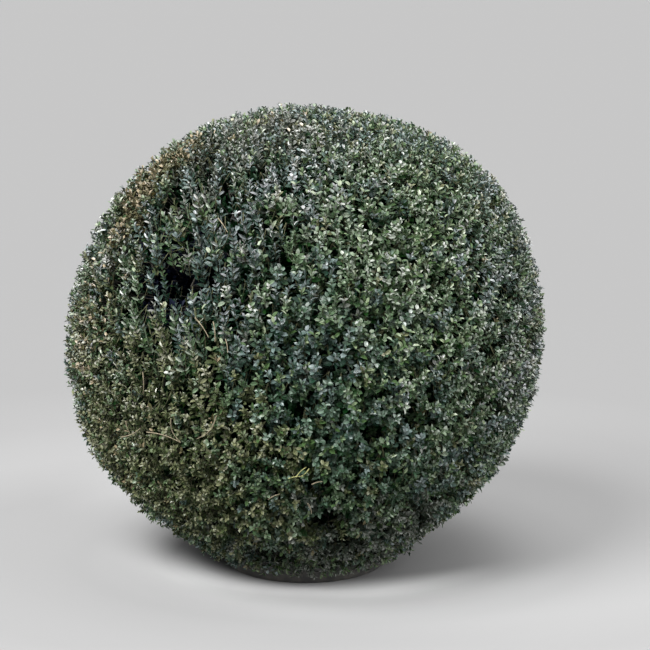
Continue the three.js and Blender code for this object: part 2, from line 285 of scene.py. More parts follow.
# Each is a distance from the pot's middle in metres, and the tone there.
# Painted shade at the sides near the pot, and painted light farther out and in front.
FAR_TONES = [(0.88, 0.182), (1.17, 0.159), (1.55, 0.146), (2.6, 0.144)]
RIGHT_LIGHT_AND_SHADE = [
    (0.26, 0.155), (0.34, 0.155), (0.40, 0.172), (0.44, 0.190),
    (0.48, 0.204), (0.54, 0.214), (0.64, 0.213),
]
LEFT_LIGHT_AND_SHADE = [(0.28, 0.05), (0.34, 0.129), (0.40, 0.170), (0.48, 0.207), (0.64, 0.214)]
FRONT_PAINTED_LIGHT = [
    (0.19, 0.88), (0.215, 0.78), (0.24, 0.535), (0.27, 0.35), (0.30, 0.288),
    (0.34, 0.253), (0.40, 0.217), (0.50, 0.199), (0.64, 0.183),
]
SIDE_BLEND = 0.1
FRONT_CENTRE = 0.058
FRONT_SQUEEZE = 0.74
FRONT_REACH = 0.3
FRONT_SPREAD = 1.24
FRONT_SLANT = 0.66
FRONT_START = -0.117
FRONT_END = 0.158


def tone_by_reach(graph, reach, stops):
    stops = [(far / GROUND_SPAN, (tone, tone, tone)) for far, tone in stops + FAR_TONES]
    return graph.add("ShaderNodeValToRGB", {"Fac": reach / GROUND_SPAN}, "Color", stops=stops)


def make_ground():
    mesh = bpy.data.meshes.new("ground")
    shape = bmesh.new()
    bmesh.ops.create_circle(shape, cap_ends=True, radius=GROUND_RADIUS, segments=GROUND_SIDES)
    shape.to_mesh(mesh)
    shape.free()
    material, graph = new_material("ground")
    place = object_place(graph)
    across, depth = part_of(graph, place, "X"), part_of(graph, place, "Y")
    squeezed = (place - (FRONT_CENTRE, 0.0, 0.0)) * (FRONT_SQUEEZE, 1.0, 1.0)
    reach, squeezed_reach = [
        graph.add("ShaderNodeVectorMath", {0: spot}, "Value", operation="LENGTH")
        for spot in (place, squeezed)
    ]
    right_tone = tone_by_reach(graph, reach, RIGHT_LIGHT_AND_SHADE)
    left_tone = tone_by_reach(graph, reach, LEFT_LIGHT_AND_SHADE)
    front_tone = tone_by_reach(graph, squeezed_reach, FRONT_PAINTED_LIGHT)
    # The three are mixed by place into painted light and shade on the ground.
    leftness = between(graph, across * -1, -SIDE_BLEND, SIDE_BLEND)
    side_tone = graph.mix(leftness, right_tone, left_tone)
    towards_front = (reach - FRONT_REACH) * FRONT_SPREAD - depth
    towards_front = towards_front - graph.maths("MAXIMUM", across, 0.0) * FRONT_SLANT
    frontness = between(graph, towards_front, FRONT_START, FRONT_END)
    tone = graph.mix(frontness, side_tone, front_tone)
    finish_material(graph, {"Base Color": tone, "Roughness": 1.0, "Specular IOR Level": 0.0})
    mesh.materials.append(material)
    ground = new_object("ground", mesh)
    ground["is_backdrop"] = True


make_ground()

# %% Light it from the sky and two suns
HORIZON_STRENGTH = 0.72
ZENITH_STRENGTH = 3.5
BACKGROUND_TONE = 0.565
# Azimuth, elevation, strength, and how wide the sun is, in degrees.
SUNS = {"key": (220, 48, 6.0, 30), "fill": (345, 28, 3.0, 50)}


def make_sky():
    world = bpy.data.worlds.new("sky")
    world.use_nodes = True
    graph = Graph(world.node_tree)
    seen = graph.add("ShaderNodeLightPath", None, "Is Camera Ray")
    height = part_of(graph, graph.add("ShaderNodeTexCoord", None, "Generated"), "Z")
    height = graph.maths("MAXIMUM", height, 0.0)
    strength = HORIZON_STRENGTH + (ZENITH_STRENGTH - HORIZON_STRENGTH) * height * height
    light = graph.add("ShaderNodeBackground", {"Color": grey(1), "Strength": strength})
    backdrop = graph.add("ShaderNodeBackground", {"Color": grey(BACKGROUND_TONE)})
    sky = graph.add("ShaderNodeMixShader", {0: seen, 1: light, 2: backdrop})
    graph.add("ShaderNodeOutputWorld", {"Surface": sky})
    bpy.context.scene.world = world


def direction_of(azimuth, elevation):
    """Azimuth 0 is +X and 90 is +Y, in degrees."""
    a, e = math.radians(azimuth), math.radians(elevation)
    return Vector((math.cos(a) * math.cos(e), math.sin(a) * math.cos(e), math.sin(e)))


def make_sun(name, azimuth, elevation, strength, width):
    data = bpy.data.lights.new(name, "SUN")
    data.energy = strength
    data.angle = math.radians(width)
    from_sun = -direction_of(azimuth, elevation)
    new_object(name, data).rotation_euler = from_sun.to_track_quat("-Z", "Y").to_euler()


make_sky()
for name, settings in SUNS.items():
    make_sun(name, *settings)
bpy.context.scene.view_settings.view_transform = "Standard"

# %% [markdown]
# ## The growth rule
#
# A clipped ball isn't quite round: it swells where it was cut less, so the outline is a ball with a
# few named lobes. Limbs could be drawn by hand, but there are thousands. So they grow in levels.
# Each level spreads its ends evenly over a shell inside the outline, and joins each end to the
# nearest end of the level before, over a knee where the limb turns outwards. The CAD model stops at
# 120 twigs with large leaves. Here the same rule goes on until the twigs are as fine as the real
# ones.

# %% The outline of the ball
# Azimuth, elevation, how far it swells in shares of the radius, and how wide it is in degrees.
LOBES = [
    (0, 36, 0.036, 22), (0, 88, -0.018, 24), (180, -28, 0.024, 24), (178, 6, 0.012, 20),
    (2, -42, -0.014, 24), (120, 20, 0.022, 26), (62, -12, -0.014, 24), (-84, 14, 0.014, 30),
]
lobe_shapes = [
    (direction_of(azimuth, elevation), swell, math.radians(spread))
    for azimuth, elevation, swell, spread in LOBES
]


def outline_radius(direction):
    share = 1.0
    for centre, swell, spread in lobe_shapes:
        away = math.acos(max(-1.0, min(1.0, direction.dot(centre))))
        share += swell * math.exp(-0.5 * (away / spread) ** 2)
    return BALL_RADIUS * share


def shell_point(direction, share):
    return BALL_CENTRE + direction * outline_radius(direction) * share


# %% The room round the pot
LIP_OUT = 0.008
THROAT_CLEARANCE = 0.012
THROAT_LINING = 0.006
POT_FOOT_SHARE = 175 / 255
DOME_GAP = 0.010
LEAST_ACROSS = 0.001

pot_rim_radius = pot_high.x - LIP_OUT
pot_foot_radius = pot_rim_radius * POT_FOOT_SHARE


def held(number):
    return max(0.0, min(1.0, number))


def pot_radius_at(z):
    return pot_foot_radius + (pot_rim_radius - pot_foot_radius) * held(z / pot_high.z)


def clear_of_pot(point):
    if point.z > pot_high.z + DOME_GAP:
        return point
    least = pot_radius_at(point.z) + THROAT_CLEARANCE + THROAT_LINING
    across = math.hypot(point.x, point.y)
    if across >= least:
        return point
    scale = least / max(across, LEAST_ACROSS)
    return Vector((point.x * scale, point.y * scale, point.z))


# %% [markdown]
# Seeded random numbers make the growth the same on every run. There are ready ones, but this little
# generator is the one that the CAD model uses, so that the boughs here are the boughs there.

# %% Seeded random numbers
GROWTH_SEED = 1207
WORD = 0xFFFFFFFF


def seeded_random(seed):
    state = seed

    def draw():
        nonlocal state
        state = (state + 0x6D2B79F5) & WORD
        mixed = ((state ^ (state >> 15)) * (state | 1)) & WORD
        mixed ^= (mixed + (mixed ^ (mixed >> 7)) * (mixed | 61)) & WORD
        return (mixed ^ (mixed >> 14)) / (WORD + 1)

    return draw


def random_vector(draw):
    return Vector((draw() - 0.5, draw() - 0.5, draw() - 0.5)) * 2


# %% Grow the levels
Level = namedtuple("Level", "limbs reach lowest shake")
Limb = namedtuple("Limb", "direction start knee end")

BOUGHS = Level(7, 0.5, -0.2, 0.1)
BRANCHES = Level(32, 0.64, -0.62, 0.2)
STEMS = Level(64, 0.78, -0.84, 0.2)
TWIGS = Level(420, 0.87, -0.88, 0.25)
SPRIGS = Level(2900, 0.93, -0.93, 0.3)
SHOOTS = Level(15000, 1.024, -0.935, 0.42)
SHADED = Level(8000, 0.885, -0.9, 0.5)
KNEE_DEPTH = 0.1
KNEE_PULL = 0.22
GOLDEN_ANGLE = math.pi * (3 - math.sqrt(5))


def spread_directions(level, draw):
    spacing = math.sqrt(4 * math.pi / level.limbs)
    for place in range(level.limbs):
        height = 1 - (1 - level.lowest) * (place + 0.5) / level.limbs
        across = math.sqrt(1 - height * height)
        turn = place * GOLDEN_ANGLE
        direction = Vector((across * math.cos(turn), across * math.sin(turn), height))
        yield (direction + random_vector(draw) * level.shake * spacing).normalized()


def grow_level(level, parents, draw):
    tree = kdtree.KDTree(len(parents))
    for place, parent in enumerate(parents):
        tree.insert(parent.direction, place)
    tree.balance()
    limbs = []
    for direction in spread_directions(level, draw):
        parent = parents[tree.find(direction)[1]]
        knee = shell_point(direction, level.reach - KNEE_DEPTH)
        knee = clear_of_pot(knee.lerp(parent.end, KNEE_PULL))
        end = clear_of_pot(shell_point(direction, level.reach))
        limbs.append(Limb(direction, parent.end, knee, end))
    return limbs


# %% Grow the whole plant
STEM_LEAN = Vector((0.007, -0.004, 0))


def stem_point(share):
    place = STEM_LEAN * share * share
    place.z = stem_low.z + (stem_high.z - stem_low.z) * share
    return place


draw = seeded_random(GROWTH_SEED)
up = Vector((0, 0, 1))
fork = Limb(up, stem_point(0), stem_point(0.5), stem_point(1))
boughs = grow_level(BOUGHS, [fork], draw)
branches = grow_level(BRANCHES, boughs, draw)
stems = grow_level(STEMS, branches, draw)
twigs = grow_level(TWIGS, stems, draw)
sprigs = grow_level(SPRIGS, twigs, draw)
shoots = grow_level(SHOOTS, sprigs, draw)
shaded = grow_level(SHADED, twigs, draw)
print("limbs", [len(level) for level in (boughs, branches, stems, twigs, sprigs, shoots)])

# %% [markdown]
# ## Hollows and clumps
#
# Where a shoot has died back, the clipped surface has a dark hollow. The photograph shows one large
# hollow left of the middle and several small ones. They could be cut out of the finished leaves,
# but it is cheaper and more natural to set the shoots there back and to leave some out. A soft
# noise sets every other shoot in or out a little, for the small clumps and gaps, except in a few
# places where the leaves are closed. The far sides have a few hollows of their own.

# %% Places on the ball


def on_ball(across, upward):
    """The direction on the ball that the camera sees at a place, in shares of the radius."""
    sideways = (right * across + picture_up * upward) * slope_per_pixel * BALL_RADIUS_PIXELS
    sight = (sideways - towards_camera).normalized()
    nearing = -sight.dot(towards_camera) * CAMERA_DISTANCE
    miss = CAMERA_DISTANCE**2 - nearing**2
    far = nearing - math.sqrt(max(0.0, BALL_RADIUS**2 - miss))
    return (towards_camera * CAMERA_DISTANCE + sight * far).normalized()


def placed(rows, find=on_ball):
    """The same rows, with the first two numbers of each turned into a direction."""
    return [(find(first, second), *rest) for first, second, *rest in rows]


def nearness(direction, centre, width):
    """1 at the centre of a place on the ball, falling off softly over its width."""
    return math.exp(-0.5 * ((direction - centre).length / width) ** 2)


# %% Where the hollows are
# Across and up on the ball as the camera sees it, in shares of its radius, then width and depth.
HOLLOWS = [
    (-0.578, 0.262, 0.047, 0.160), (-0.520, 0.262, 0.047, 0.160), (-0.685, 0.222, 0.042, 0.130),
    (-0.440, 0.275, 0.034, 0.085), (-0.581, 0.374, 0.028, 0.070), (-0.105, 0.355, 0.034, 0.080),
    (-0.262, 0.208, 0.026, 0.070), (-0.445, 0.735, 0.042, 0.085), (-0.575, 0.635, 0.046, 0.100),
    (-0.830, 0.250, 0.038, 0.070), (-0.497, -0.104, 0.020, 0.040), (-0.250, -0.125, 0.026, 0.050),
    (-0.180, -0.190, 0.024, 0.045), (-0.315, -0.285, 0.020, 0.040), (-0.035, -0.300, 0.034, 0.070),
    (0.117, -0.120, 0.026, 0.050), (0.247, -0.270, 0.022, 0.045), (0.288, -0.412, 0.042, 0.075),
    (0.471, -0.355, 0.032, 0.060), (0.550, -0.235, 0.030, 0.060), (0.640, -0.385, 0.024, 0.050),
    (0.790, -0.070, 0.026, 0.050), (0.310, 0.500, 0.019, 0.040), (0.860, 0.185, 0.034, 0.050),
    (0.087, -0.810, 0.056, 0.095), (0.073, -0.645, 0.027, 0.055), (-0.165, -0.955, 0.066, 0.125),
    (0.155, -0.910, 0.054, 0.110),
]
# Azimuth and elevation in degrees, then width and depth.
HOLLOWS_BEHIND = [
    (70, 22, 0.06, 0.07), (105, -8, 0.07, 0.08), (150, 30, 0.05, 0.06), (30, 8, 0.05, 0.06),
]
# Across, up and width.
CLOSED = [
    (-0.10, -0.717, 0.07), (-0.05, -0.40, 0.05), (-0.235, -0.53, 0.05),
    (-0.37, -0.14, 0.05), (0.715, 0.0, 0.08),
]

hollow_shapes = placed(HOLLOWS) + placed(HOLLOWS_BEHIND, direction_of)
closed_places = placed(CLOSED)
print("hollows", len(hollow_shapes), "closed places", len(closed_places))

# %% How far each shoot is set back
CLUMP_SIZE = 0.026
CLUMP_SHIFTS = (3.1, 9.2)
CLUMP_DEPTH = 0.050
RAGGED_DEPTH = 0.028
SKIRT_START = -0.96
SKIRT_SPAN = 0.25
RIM_SPREAD = 1.3


def clump(direction, size, shift):
    place = direction * (BALL_RADIUS / size) + Vector((shift, -shift, 2 * shift))
    return noise.noise(place)


def near_hollow(direction):
    """How far a place is in the shade of a hollow's rim, from 0 to 1."""
    return max(
        nearness(direction, centre, RIM_SPREAD * width) for centre, width, _ in hollow_shapes
    )


def hollow_depth(direction):
    deepest = 0.0
    for centre, width, depth in hollow_shapes:
        away = (direction - centre).length
        if away < 3 * width:
            deepest = max(deepest, depth * math.exp(-0.5 * (away / width) ** 4))
    return deepest


def set_back(direction, draw):
    """Clumps and ragged shoots, which fade out under the ball, and the hollows."""
    fine = clump(direction, CLUMP_SIZE, CLUMP_SHIFTS[0])
    waves = max(0.0, fine + 0.5 * clump(direction, 3 * CLUMP_SIZE, CLUMP_SHIFTS[1]))
    for centre, width in closed_places:
        waves *= 1 - nearness(direction, centre, width)
    ragged = waves * CLUMP_DEPTH + RAGGED_DEPTH * draw() ** 3
    skirt = held((direction.z - SKIRT_START) / SKIRT_SPAN)
    return ragged * skirt + hollow_depth(direction)


# %% [markdown]
# ## Tints dealt out by shoot
#
# The ball isn't one green. Most of it is deep green and blue-green, the lower left is olive, the
# right has bright new shoots, the clipped rim at the upper left is bronze, and the top and the foot
# are greyer. The tint could be painted over the ball as a pattern, but patterns don't survive on
# tens of thousands of tiny leaves. So each shoot gets one of a few plain leaf finishes. Named
# patches change the odds of a finish or of a leaf shape, and soft waves gather the finishes in
# clumps.

# %% The finishes
Finish = namedtuple("Finish", "dark middle light")

FINISHES = {
    "deep_green": Finish((0.002, 0.018, 0.003), (0.065, 0.104, 0.073), (0.153, 0.158, 0.156)),
    "blue_green": Finish((0.002, 0.017, 0.008), (0.078, 0.112, 0.105), (0.181, 0.188, 0.196)),
    "leaf_green": Finish((0.004, 0.022, 0.003), (0.090, 0.133, 0.073), (0.208, 0.215, 0.198)),
    "olive": Finish((0.008, 0.018, 0.002), (0.117, 0.124, 0.060), (0.216, 0.216, 0.180)),
    "dusty": Finish((0.008, 0.013, 0.007), (0.103, 0.113, 0.096), (0.221, 0.223, 0.208)),
    "bronze": Finish((0.030, 0.022, 0.006), (0.188, 0.148, 0.086), (0.33, 0.285, 0.222)),
    "new_growth": Finish((0.020, 0.050, 0.008), (0.145, 0.182, 0.103), (0.240, 0.252, 0.215)),
    "bleached": Finish((0.20, 0.19, 0.10), (0.27, 0.26, 0.19), (0.34, 0.33, 0.27)),
    # The shade finishes are painted shade: nearly black inner leaves, bluish in the large hollow.
    "shade": Finish((0.002, 0.012, 0.003), (0.003, 0.018, 0.005), (0.006, 0.028, 0.009)),
    "blue_shade": Finish((0.002, 0.004, 0.009), (0.004, 0.006, 0.016), (0.006, 0.008, 0.017)),
}
# A leaf half way down in the shade is this share of the middle colour, and greener.
LOW_SHARE = (0.38, 0.49, 0.385)

# %% The odds of each finish and leaf shape
SHOOT_ODDS = dict(
    deep_green=0.32, blue_green=0.28, leaf_green=0.27, olive=0.07, dusty=0.03, bronze=0.002
)
TIP_ODDS = dict(none=0.86, new_growth=0.13, bronze=0.005, bleached=0.005)
SHADE_ODDS = dict(shade=1.0, blue_shade=0.001)
STYLE_ODDS = dict(oval=1.0, round=0.35, slim=0.25, spear=0.01)

# How strongly the odds of a finish come and go: finish, width of a clump, shift and strength.
TINT_WAVES = [
    ("blue_green", 0.036, 2.2, 7.0), ("leaf_green", 0.036, 2.2, -7.0),
    ("deep_green", 0.045, 6.1, 5.0), ("olive", 0.040, 5.3, 5.0),
    ("blue_green", 0.085, 4.4, 2.0), ("leaf_green", 0.085, 4.4, -2.0),
    ("dusty", 0.07, 1.9, 3.0), ("new_growth", 0.09, 7.7, 2.8),
]

# %% The patches where the odds change
# Across, up, width, and how many times more likely each finish or leaf shape is there.
PATCHES = [
    # The rim at the upper left and the top.
    (-0.672, 0.718, 0.095, dict(bronze=8000, olive=8, bleached=4, blue_green=0.3)),
    (-0.74, 0.61, 0.090, dict(bronze=4000, olive=8, blue_green=0.3)),
    (-0.52, 0.825, 0.090, dict(bronze=6000, olive=8, blue_green=0.3, dusty=4)),
    (-0.81, 0.485, 0.14, dict(bronze=60, dusty=40, olive=2)),
    (-0.38, 0.88, 0.09, dict(dusty=20, blue_green=2, olive=0.3, leaf_green=0.3)),
    (-0.15, 0.95, 0.14, dict(bronze=90, bleached=12, dusty=30)),
    (-0.10, 0.93, 0.28, dict(dusty=60, bleached=4, blue_green=2)),
    # The grey-green upper left, with the large hollow.
    (-0.42, 0.72, 0.15, dict(blue_green=5, dusty=30, olive=0.3, leaf_green=0.3)),
    (-0.18, 0.68, 0.20, dict(blue_green=4, dusty=2, olive=0.3, new_growth=0.5)),
    (-0.55, 0.30, 0.22, dict(blue_green=3, dusty=4, olive=0.5, new_growth=0.5)),
    (-0.45, 0.24, 0.11, dict(blue_green=5, leaf_green=0.2, olive=0.3)),
    (-0.82, 0.28, 0.07, dict(blue_green=8, dusty=8, olive=0.3, bronze=0.3)),
    (-0.66, 0.29, 0.20, dict(blue_shade=1e6)),
    # The olive lower left, from the left rim down.
    (-0.94, 0.10, 0.17, dict(olive=14, bronze=160, blue_green=0.2, dusty=6)),
    (-0.94, -0.23, 0.16, dict(olive=9, bronze=9, blue_green=0.15)),
    (-0.60, -0.52, 0.36, dict(olive=200, bronze=5, blue_green=0.08, deep_green=0.3)),
    (-0.83, -0.52, 0.25, dict(olive=3, bronze=9, dusty=0.5, blue_green=0.2)),
    (-0.49, -0.03, 0.14, dict(leaf_green=24, new_growth=3, blue_green=0.1, dusty=0.2)),
    (-0.32, -0.34, 0.15, dict(leaf_green=5, olive=7, blue_green=0.1)),
    (-0.20, -0.54, 0.12, dict(olive=0.3, deep_green=3, leaf_green=2)),
    (-0.02, -0.60, 0.12, dict(olive=9, leaf_green=1.5, blue_green=0.4)),
    # The bluer middle.
    (-0.09, -0.07, 0.24, dict(blue_green=22, leaf_green=0.12, olive=0.2)),
    (0.16, -0.38, 0.10, dict(deep_green=6, blue_green=2, olive=0.3, leaf_green=0.3)),
    (0.58, -0.15, 0.10, dict(blue_green=5, leaf_green=0.3, olive=0.4)),
    (0.48, 0.0, 0.10, dict(blue_green=5, leaf_green=0.4, olive=0.4)),
    (0.26, 0.0, 0.10, dict(deep_green=4, blue_green=2, dusty=0.3)),
    # The fresher right and upper right.
    (0.47, 0.44, 0.26, dict(new_growth=5, leaf_green=18, blue_green=0.1)),
    (0.44, 0.20, 0.11, dict(leaf_green=10, new_growth=2, blue_green=0.1)),
    (0.16, 0.29, 0.13, dict(leaf_green=6, blue_green=0.2, new_growth=1.5)),
    (0.71, 0.60, 0.15, dict(leaf_green=6, blue_green=0.2)),
    (0.82, -0.17, 0.16, dict(leaf_green=14, deep_green=2, blue_green=0.1)),
    (0.84, 0.22, 0.18, dict(blue_green=2, deep_green=5, dusty=0.2)),
    (0.30, -0.25, 0.40, dict(new_growth=1.7, deep_green=1.6)),
    (0.48, -0.48, 0.13, dict(leaf_green=20, new_growth=2, olive=2, blue_green=0.1)),
    # The foot, darker in painted shade, and its greyer rim.
    (0.22, -0.58, 0.26, dict(deep_green=5, blue_green=0.6)),
    (0.02, -0.70, 0.10, dict(dusty=40, olive=0.5, leaf_green=0.3)),
    (-0.10, -0.96, 0.28, dict(dusty=90, olive=4, leaf_green=0.5)),
    (0.30, -0.94, 0.24, dict(dusty=90, olive=0.6, leaf_green=0.4)),
    (0.48, -0.80, 0.15, dict(dusty=60, blue_green=5, leaf_green=0.3, olive=0.3)),
    # Slim leaves on long shoots at the upper left, round ones in the middle.
    (0.02, 0.0, 0.35, dict(round=5)),
    (0.30, 0.35, 0.35, dict(round=2.5)),
    (-0.45, 0.55, 0.42, dict(slim=12, spear=160, round=0.2, oval=0.7)),
    (-0.60, 0.12, 0.20, dict(slim=6, spear=900, round=0.3)),
]
# The sides that the photograph doesn't show, by azimuth and elevation.
PATCHES_BEHIND = [
    (60, -20, 0.45, dict(olive=8, bronze=3, leaf_green=2)),
    (105, 30, 0.45, dict(slim=3, leaf_green=3, blue_green=0.7)),
    (150, -5, 0.40, dict(new_growth=2.2, leaf_green=5, olive=4)),
    (205, 25, 0.50, dict(leaf_green=4, olive=3, blue_green=0.7)),
    (240, -15, 0.35, dict(olive=6, leaf_green=2, blue_green=0.6)),
]
patches = placed(PATCHES) + placed(PATCHES_BEHIND, direction_of)

# %% Pick from the odds


def picked_for(direction, odds, draw):
    """One of the names in odds, as the patches and waves change the odds there."""
    odds = dict(odds)
    for centre, width, changes in patches:
        strength = nearness(direction, centre, width)
        for name in odds:
            odds[name] *= changes.get(name, 1) ** strength
    for name, size, shift, strength in TINT_WAVES:
        if name in odds:
            odds[name] *= math.exp(strength * clump(direction, size, shift))
    pick = draw() * sum(odds.values())
    for name, share in odds.items():
        pick -= share
        if pick <= 0:
            break
    return name


# %% [markdown]
# ## Leaf finishes
#
# Boxwood leaves are small and leathery, with a waxy upper side that turns pale where it catches the
# sky. The light and dark of each leaf could be left to the lamps alone, but then leaves in the same
# light would all be one tone. So each finish is one Principled material in painted light and
# shade. Its colour runs from nearly black, painted deep shade, over two greens to a pale one with
# painted sheen, by two numbers that every leaf carries: its own, which is higher near the tip of a
# shoot, partly painted shade on the inner leaves, and its shoot's, which is low in painted shade.
# A coat over it stands for the wax, thinner where the shade is painted.

# %% Make a material for each leaf finish
WAX = 0.92
WAX_DENSITY = 1.78
WAX_ROUGHNESS = 0.385
BARE_GLOSS = 0.08
LEAF_ROUGHNESS = 0.42
DEEP_SHADE_TONE = 0.35


def make_leaf_material(name, finish):
    material, graph = new_material("leaf_" + name)
    leaf_tone, shoot_tone = [
        graph.add("ShaderNodeAttribute", None, "Fac", attribute_name=number)
        for number in ("leaf_tone", "shoot_tone")
    ]
    # Painted light and shade: dark in the painted shade, pale with painted sheen.
    tone = leaf_tone * (DEEP_SHADE_TONE + (1 - DEEP_SHADE_TONE) * shoot_tone)
    low = tuple(part * share for part, share in zip(finish.middle, LOW_SHARE))
    stops = [(0.0, finish.dark), (0.25, low), (0.5, finish.middle), (1.0, finish.light)]
    inputs = {
        "Base Color": graph.add("ShaderNodeValToRGB", {"Fac": tone}, "Color", stops=stops),
        "Roughness": LEAF_ROUGHNESS,
        "Specular IOR Level": BARE_GLOSS,
        "Coat Weight": WAX * tone if name not in SHADE_ODDS else 0.0,
        "Coat Roughness": WAX_ROUGHNESS,
        "Coat IOR": WAX_DENSITY,
    }
    finish_material(graph, inputs)
    return material


leaf_materials = {name: make_leaf_material(name, finish) for name, finish in FINISHES.items()}
print("leaf finishes", list(leaf_materials))

# %% [markdown]
# ## One leaf
#
# A boxwood leaf is an oval about 13 mm long, folded a little along its rib, with its tip turned
# down. A picture of a leaf on a card would be simpler, but it needs an image and a see-through
# edge. Six triangles in the leaf's own outline are enough at this size, and two for a leaf deep in
# the shade.

# %% Shape the leaves
LEAF_LENGTH = 0.0128
LEAF_FOLD_SHARE = 0.12
LEAF_DROOP_SHARE = 0.10
SHADE_LEAF_LENGTH = 0.026
SHADE_LEAF_HALF = 0.0075
SHADE_LEAF_FOLD = 0.002


def new_mesh(name, points, edges=(), faces=()):
    mesh = bpy.data.meshes.new(name)
    mesh.from_pydata(points, edges, faces)
    return mesh


def make_leaf(name, width_share):
    length = LEAF_LENGTH
    half = length * width_share / 2
    fold = length * LEAF_FOLD_SHARE
    corners = [
        (0, 0, 0),
        (0.86 * half, 0.27 * length, fold),
        (0.90 * half, 0.70 * length, 0.7 * fold),
        (0, length, -length * LEAF_DROOP_SHARE),
        (-0.90 * half, 0.70 * length, 0.7 * fold),
        (-0.86 * half, 0.27 * length, fold),
        (0, 0.52 * length, 0),
    ]
    faces = [(corner, (corner + 1) % 6, 6) for corner in range(6)]
    return bpy.data.objects.new(name, new_mesh(name, corners, faces=faces))


def make_shade_leaf(name):
    length, half, fold = SHADE_LEAF_LENGTH, SHADE_LEAF_HALF, SHADE_LEAF_FOLD
    sides = (half, 0.45 * length, fold), (-half, 0.45 * length, fold)
    corners = [(0, 0, 0), sides[0], (0, length, -fold), sides[1]]
    return bpy.data.objects.new(name, new_mesh(name, corners, faces=[(0, 1, 2), (0, 2, 3)]))


round_leaf = make_leaf("round_leaf", 0.64)
oval_leaf = make_leaf("oval_leaf", 0.52)
slim_leaf = make_leaf("slim_leaf", 0.38)
shade_leaf = make_shade_leaf("shade_leaf")

# %% [markdown]
# ## One leafy shoot
#
# Boxwood leaves stand in opposite pairs, each pair turned a quarter turn from the one below, wide
# open at the foot of the shoot and closing towards its tip. That is a rule, so a Geometry Nodes
# tree makes it: a line of points, one for each pair, and two leaves on every point. A few seeds and
# leaf shapes give shoots that are all different.

# %% Helpers for Geometry Nodes trees


def new_tree(name, inputs):
    """A tree with named inputs, and a function that gives each of them by its name."""
    tree = bpy.data.node_groups.new(name, "GeometryNodeTree")
    for label, (kind, value) in inputs.items():
        socket = tree.interface.new_socket(label, in_out="INPUT", socket_type="NodeSocket" + kind)
        if value is not None:
            socket.default_value = value
    tree.interface.new_socket("Geometry", in_out="OUTPUT", socket_type="NodeSocketGeometry")
    graph = Graph(tree)
    entry = tree.nodes.new("NodeGroupInput")
    return graph, lambda label: Wire(graph, find_socket(entry.outputs, label))


def finish_tree(graph, geometry, material=None):
    if material:
        inputs = {"Geometry": geometry, "Material": material}
        geometry = graph.add("GeometryNodeSetMaterial", inputs)
    graph.add("NodeGroupOutput", {"Geometry": geometry})
    return graph.tree


def random_number(graph, low, high, seed):
    inputs = {"Min": low, "Max": high, "Seed": seed}
    return graph.add("FunctionNodeRandomValue", inputs, data_type="FLOAT")


def stored(graph, name, kind):
    return graph.add("GeometryNodeInputNamedAttribute", {"Name": name}, "Attribute", data_type=kind)


def turned_about(graph, axis, angle):
    return graph.add("FunctionNodeAxisAngleToRotation", {"Axis": axis, "Angle": angle})


def turned_then(graph, first, second):
    """A turn about the object's own axes, after the first turn."""
    inputs = {"Rotation": first, "Rotate By": second}
    return graph.add("FunctionNodeRotateRotation", inputs, rotation_space="LOCAL")


def put_on_points(graph, points, instance, turn, size, picked=None):
    """Copies of one object on every point, or one picked for each point from a collection."""
    inputs = {"Points": points, "Instance": instance, "Rotation": turn, "Scale": size}
    if picked:
        inputs.update({"Pick Instance": True, "Instance Index": picked})
    return graph.add("GeometryNodeInstanceOnPoints", inputs)


def made_real(graph, instances):
    return graph.add("GeometryNodeRealizeInstances", {"Geometry": instances})


# %% The tree for a leafy shoot
SHOOT_LENGTH = 0.034
OPEN_SHAKE = 0.42
ROLL_SHAKE = 0.6
TWIST_SHAKE = 0.7
SIZE_SPREAD = (0.78, 1.2)
FOOT_LEAF_SIZE = 1.06
TIP_LEAF_LOSS = 0.34
# Each leaf's tone, partly at random, higher at the young tip and in painted shade lower down.
TONE_SPREAD = (-0.06, 0.68)
TIP_TONE_GAIN = 0.39


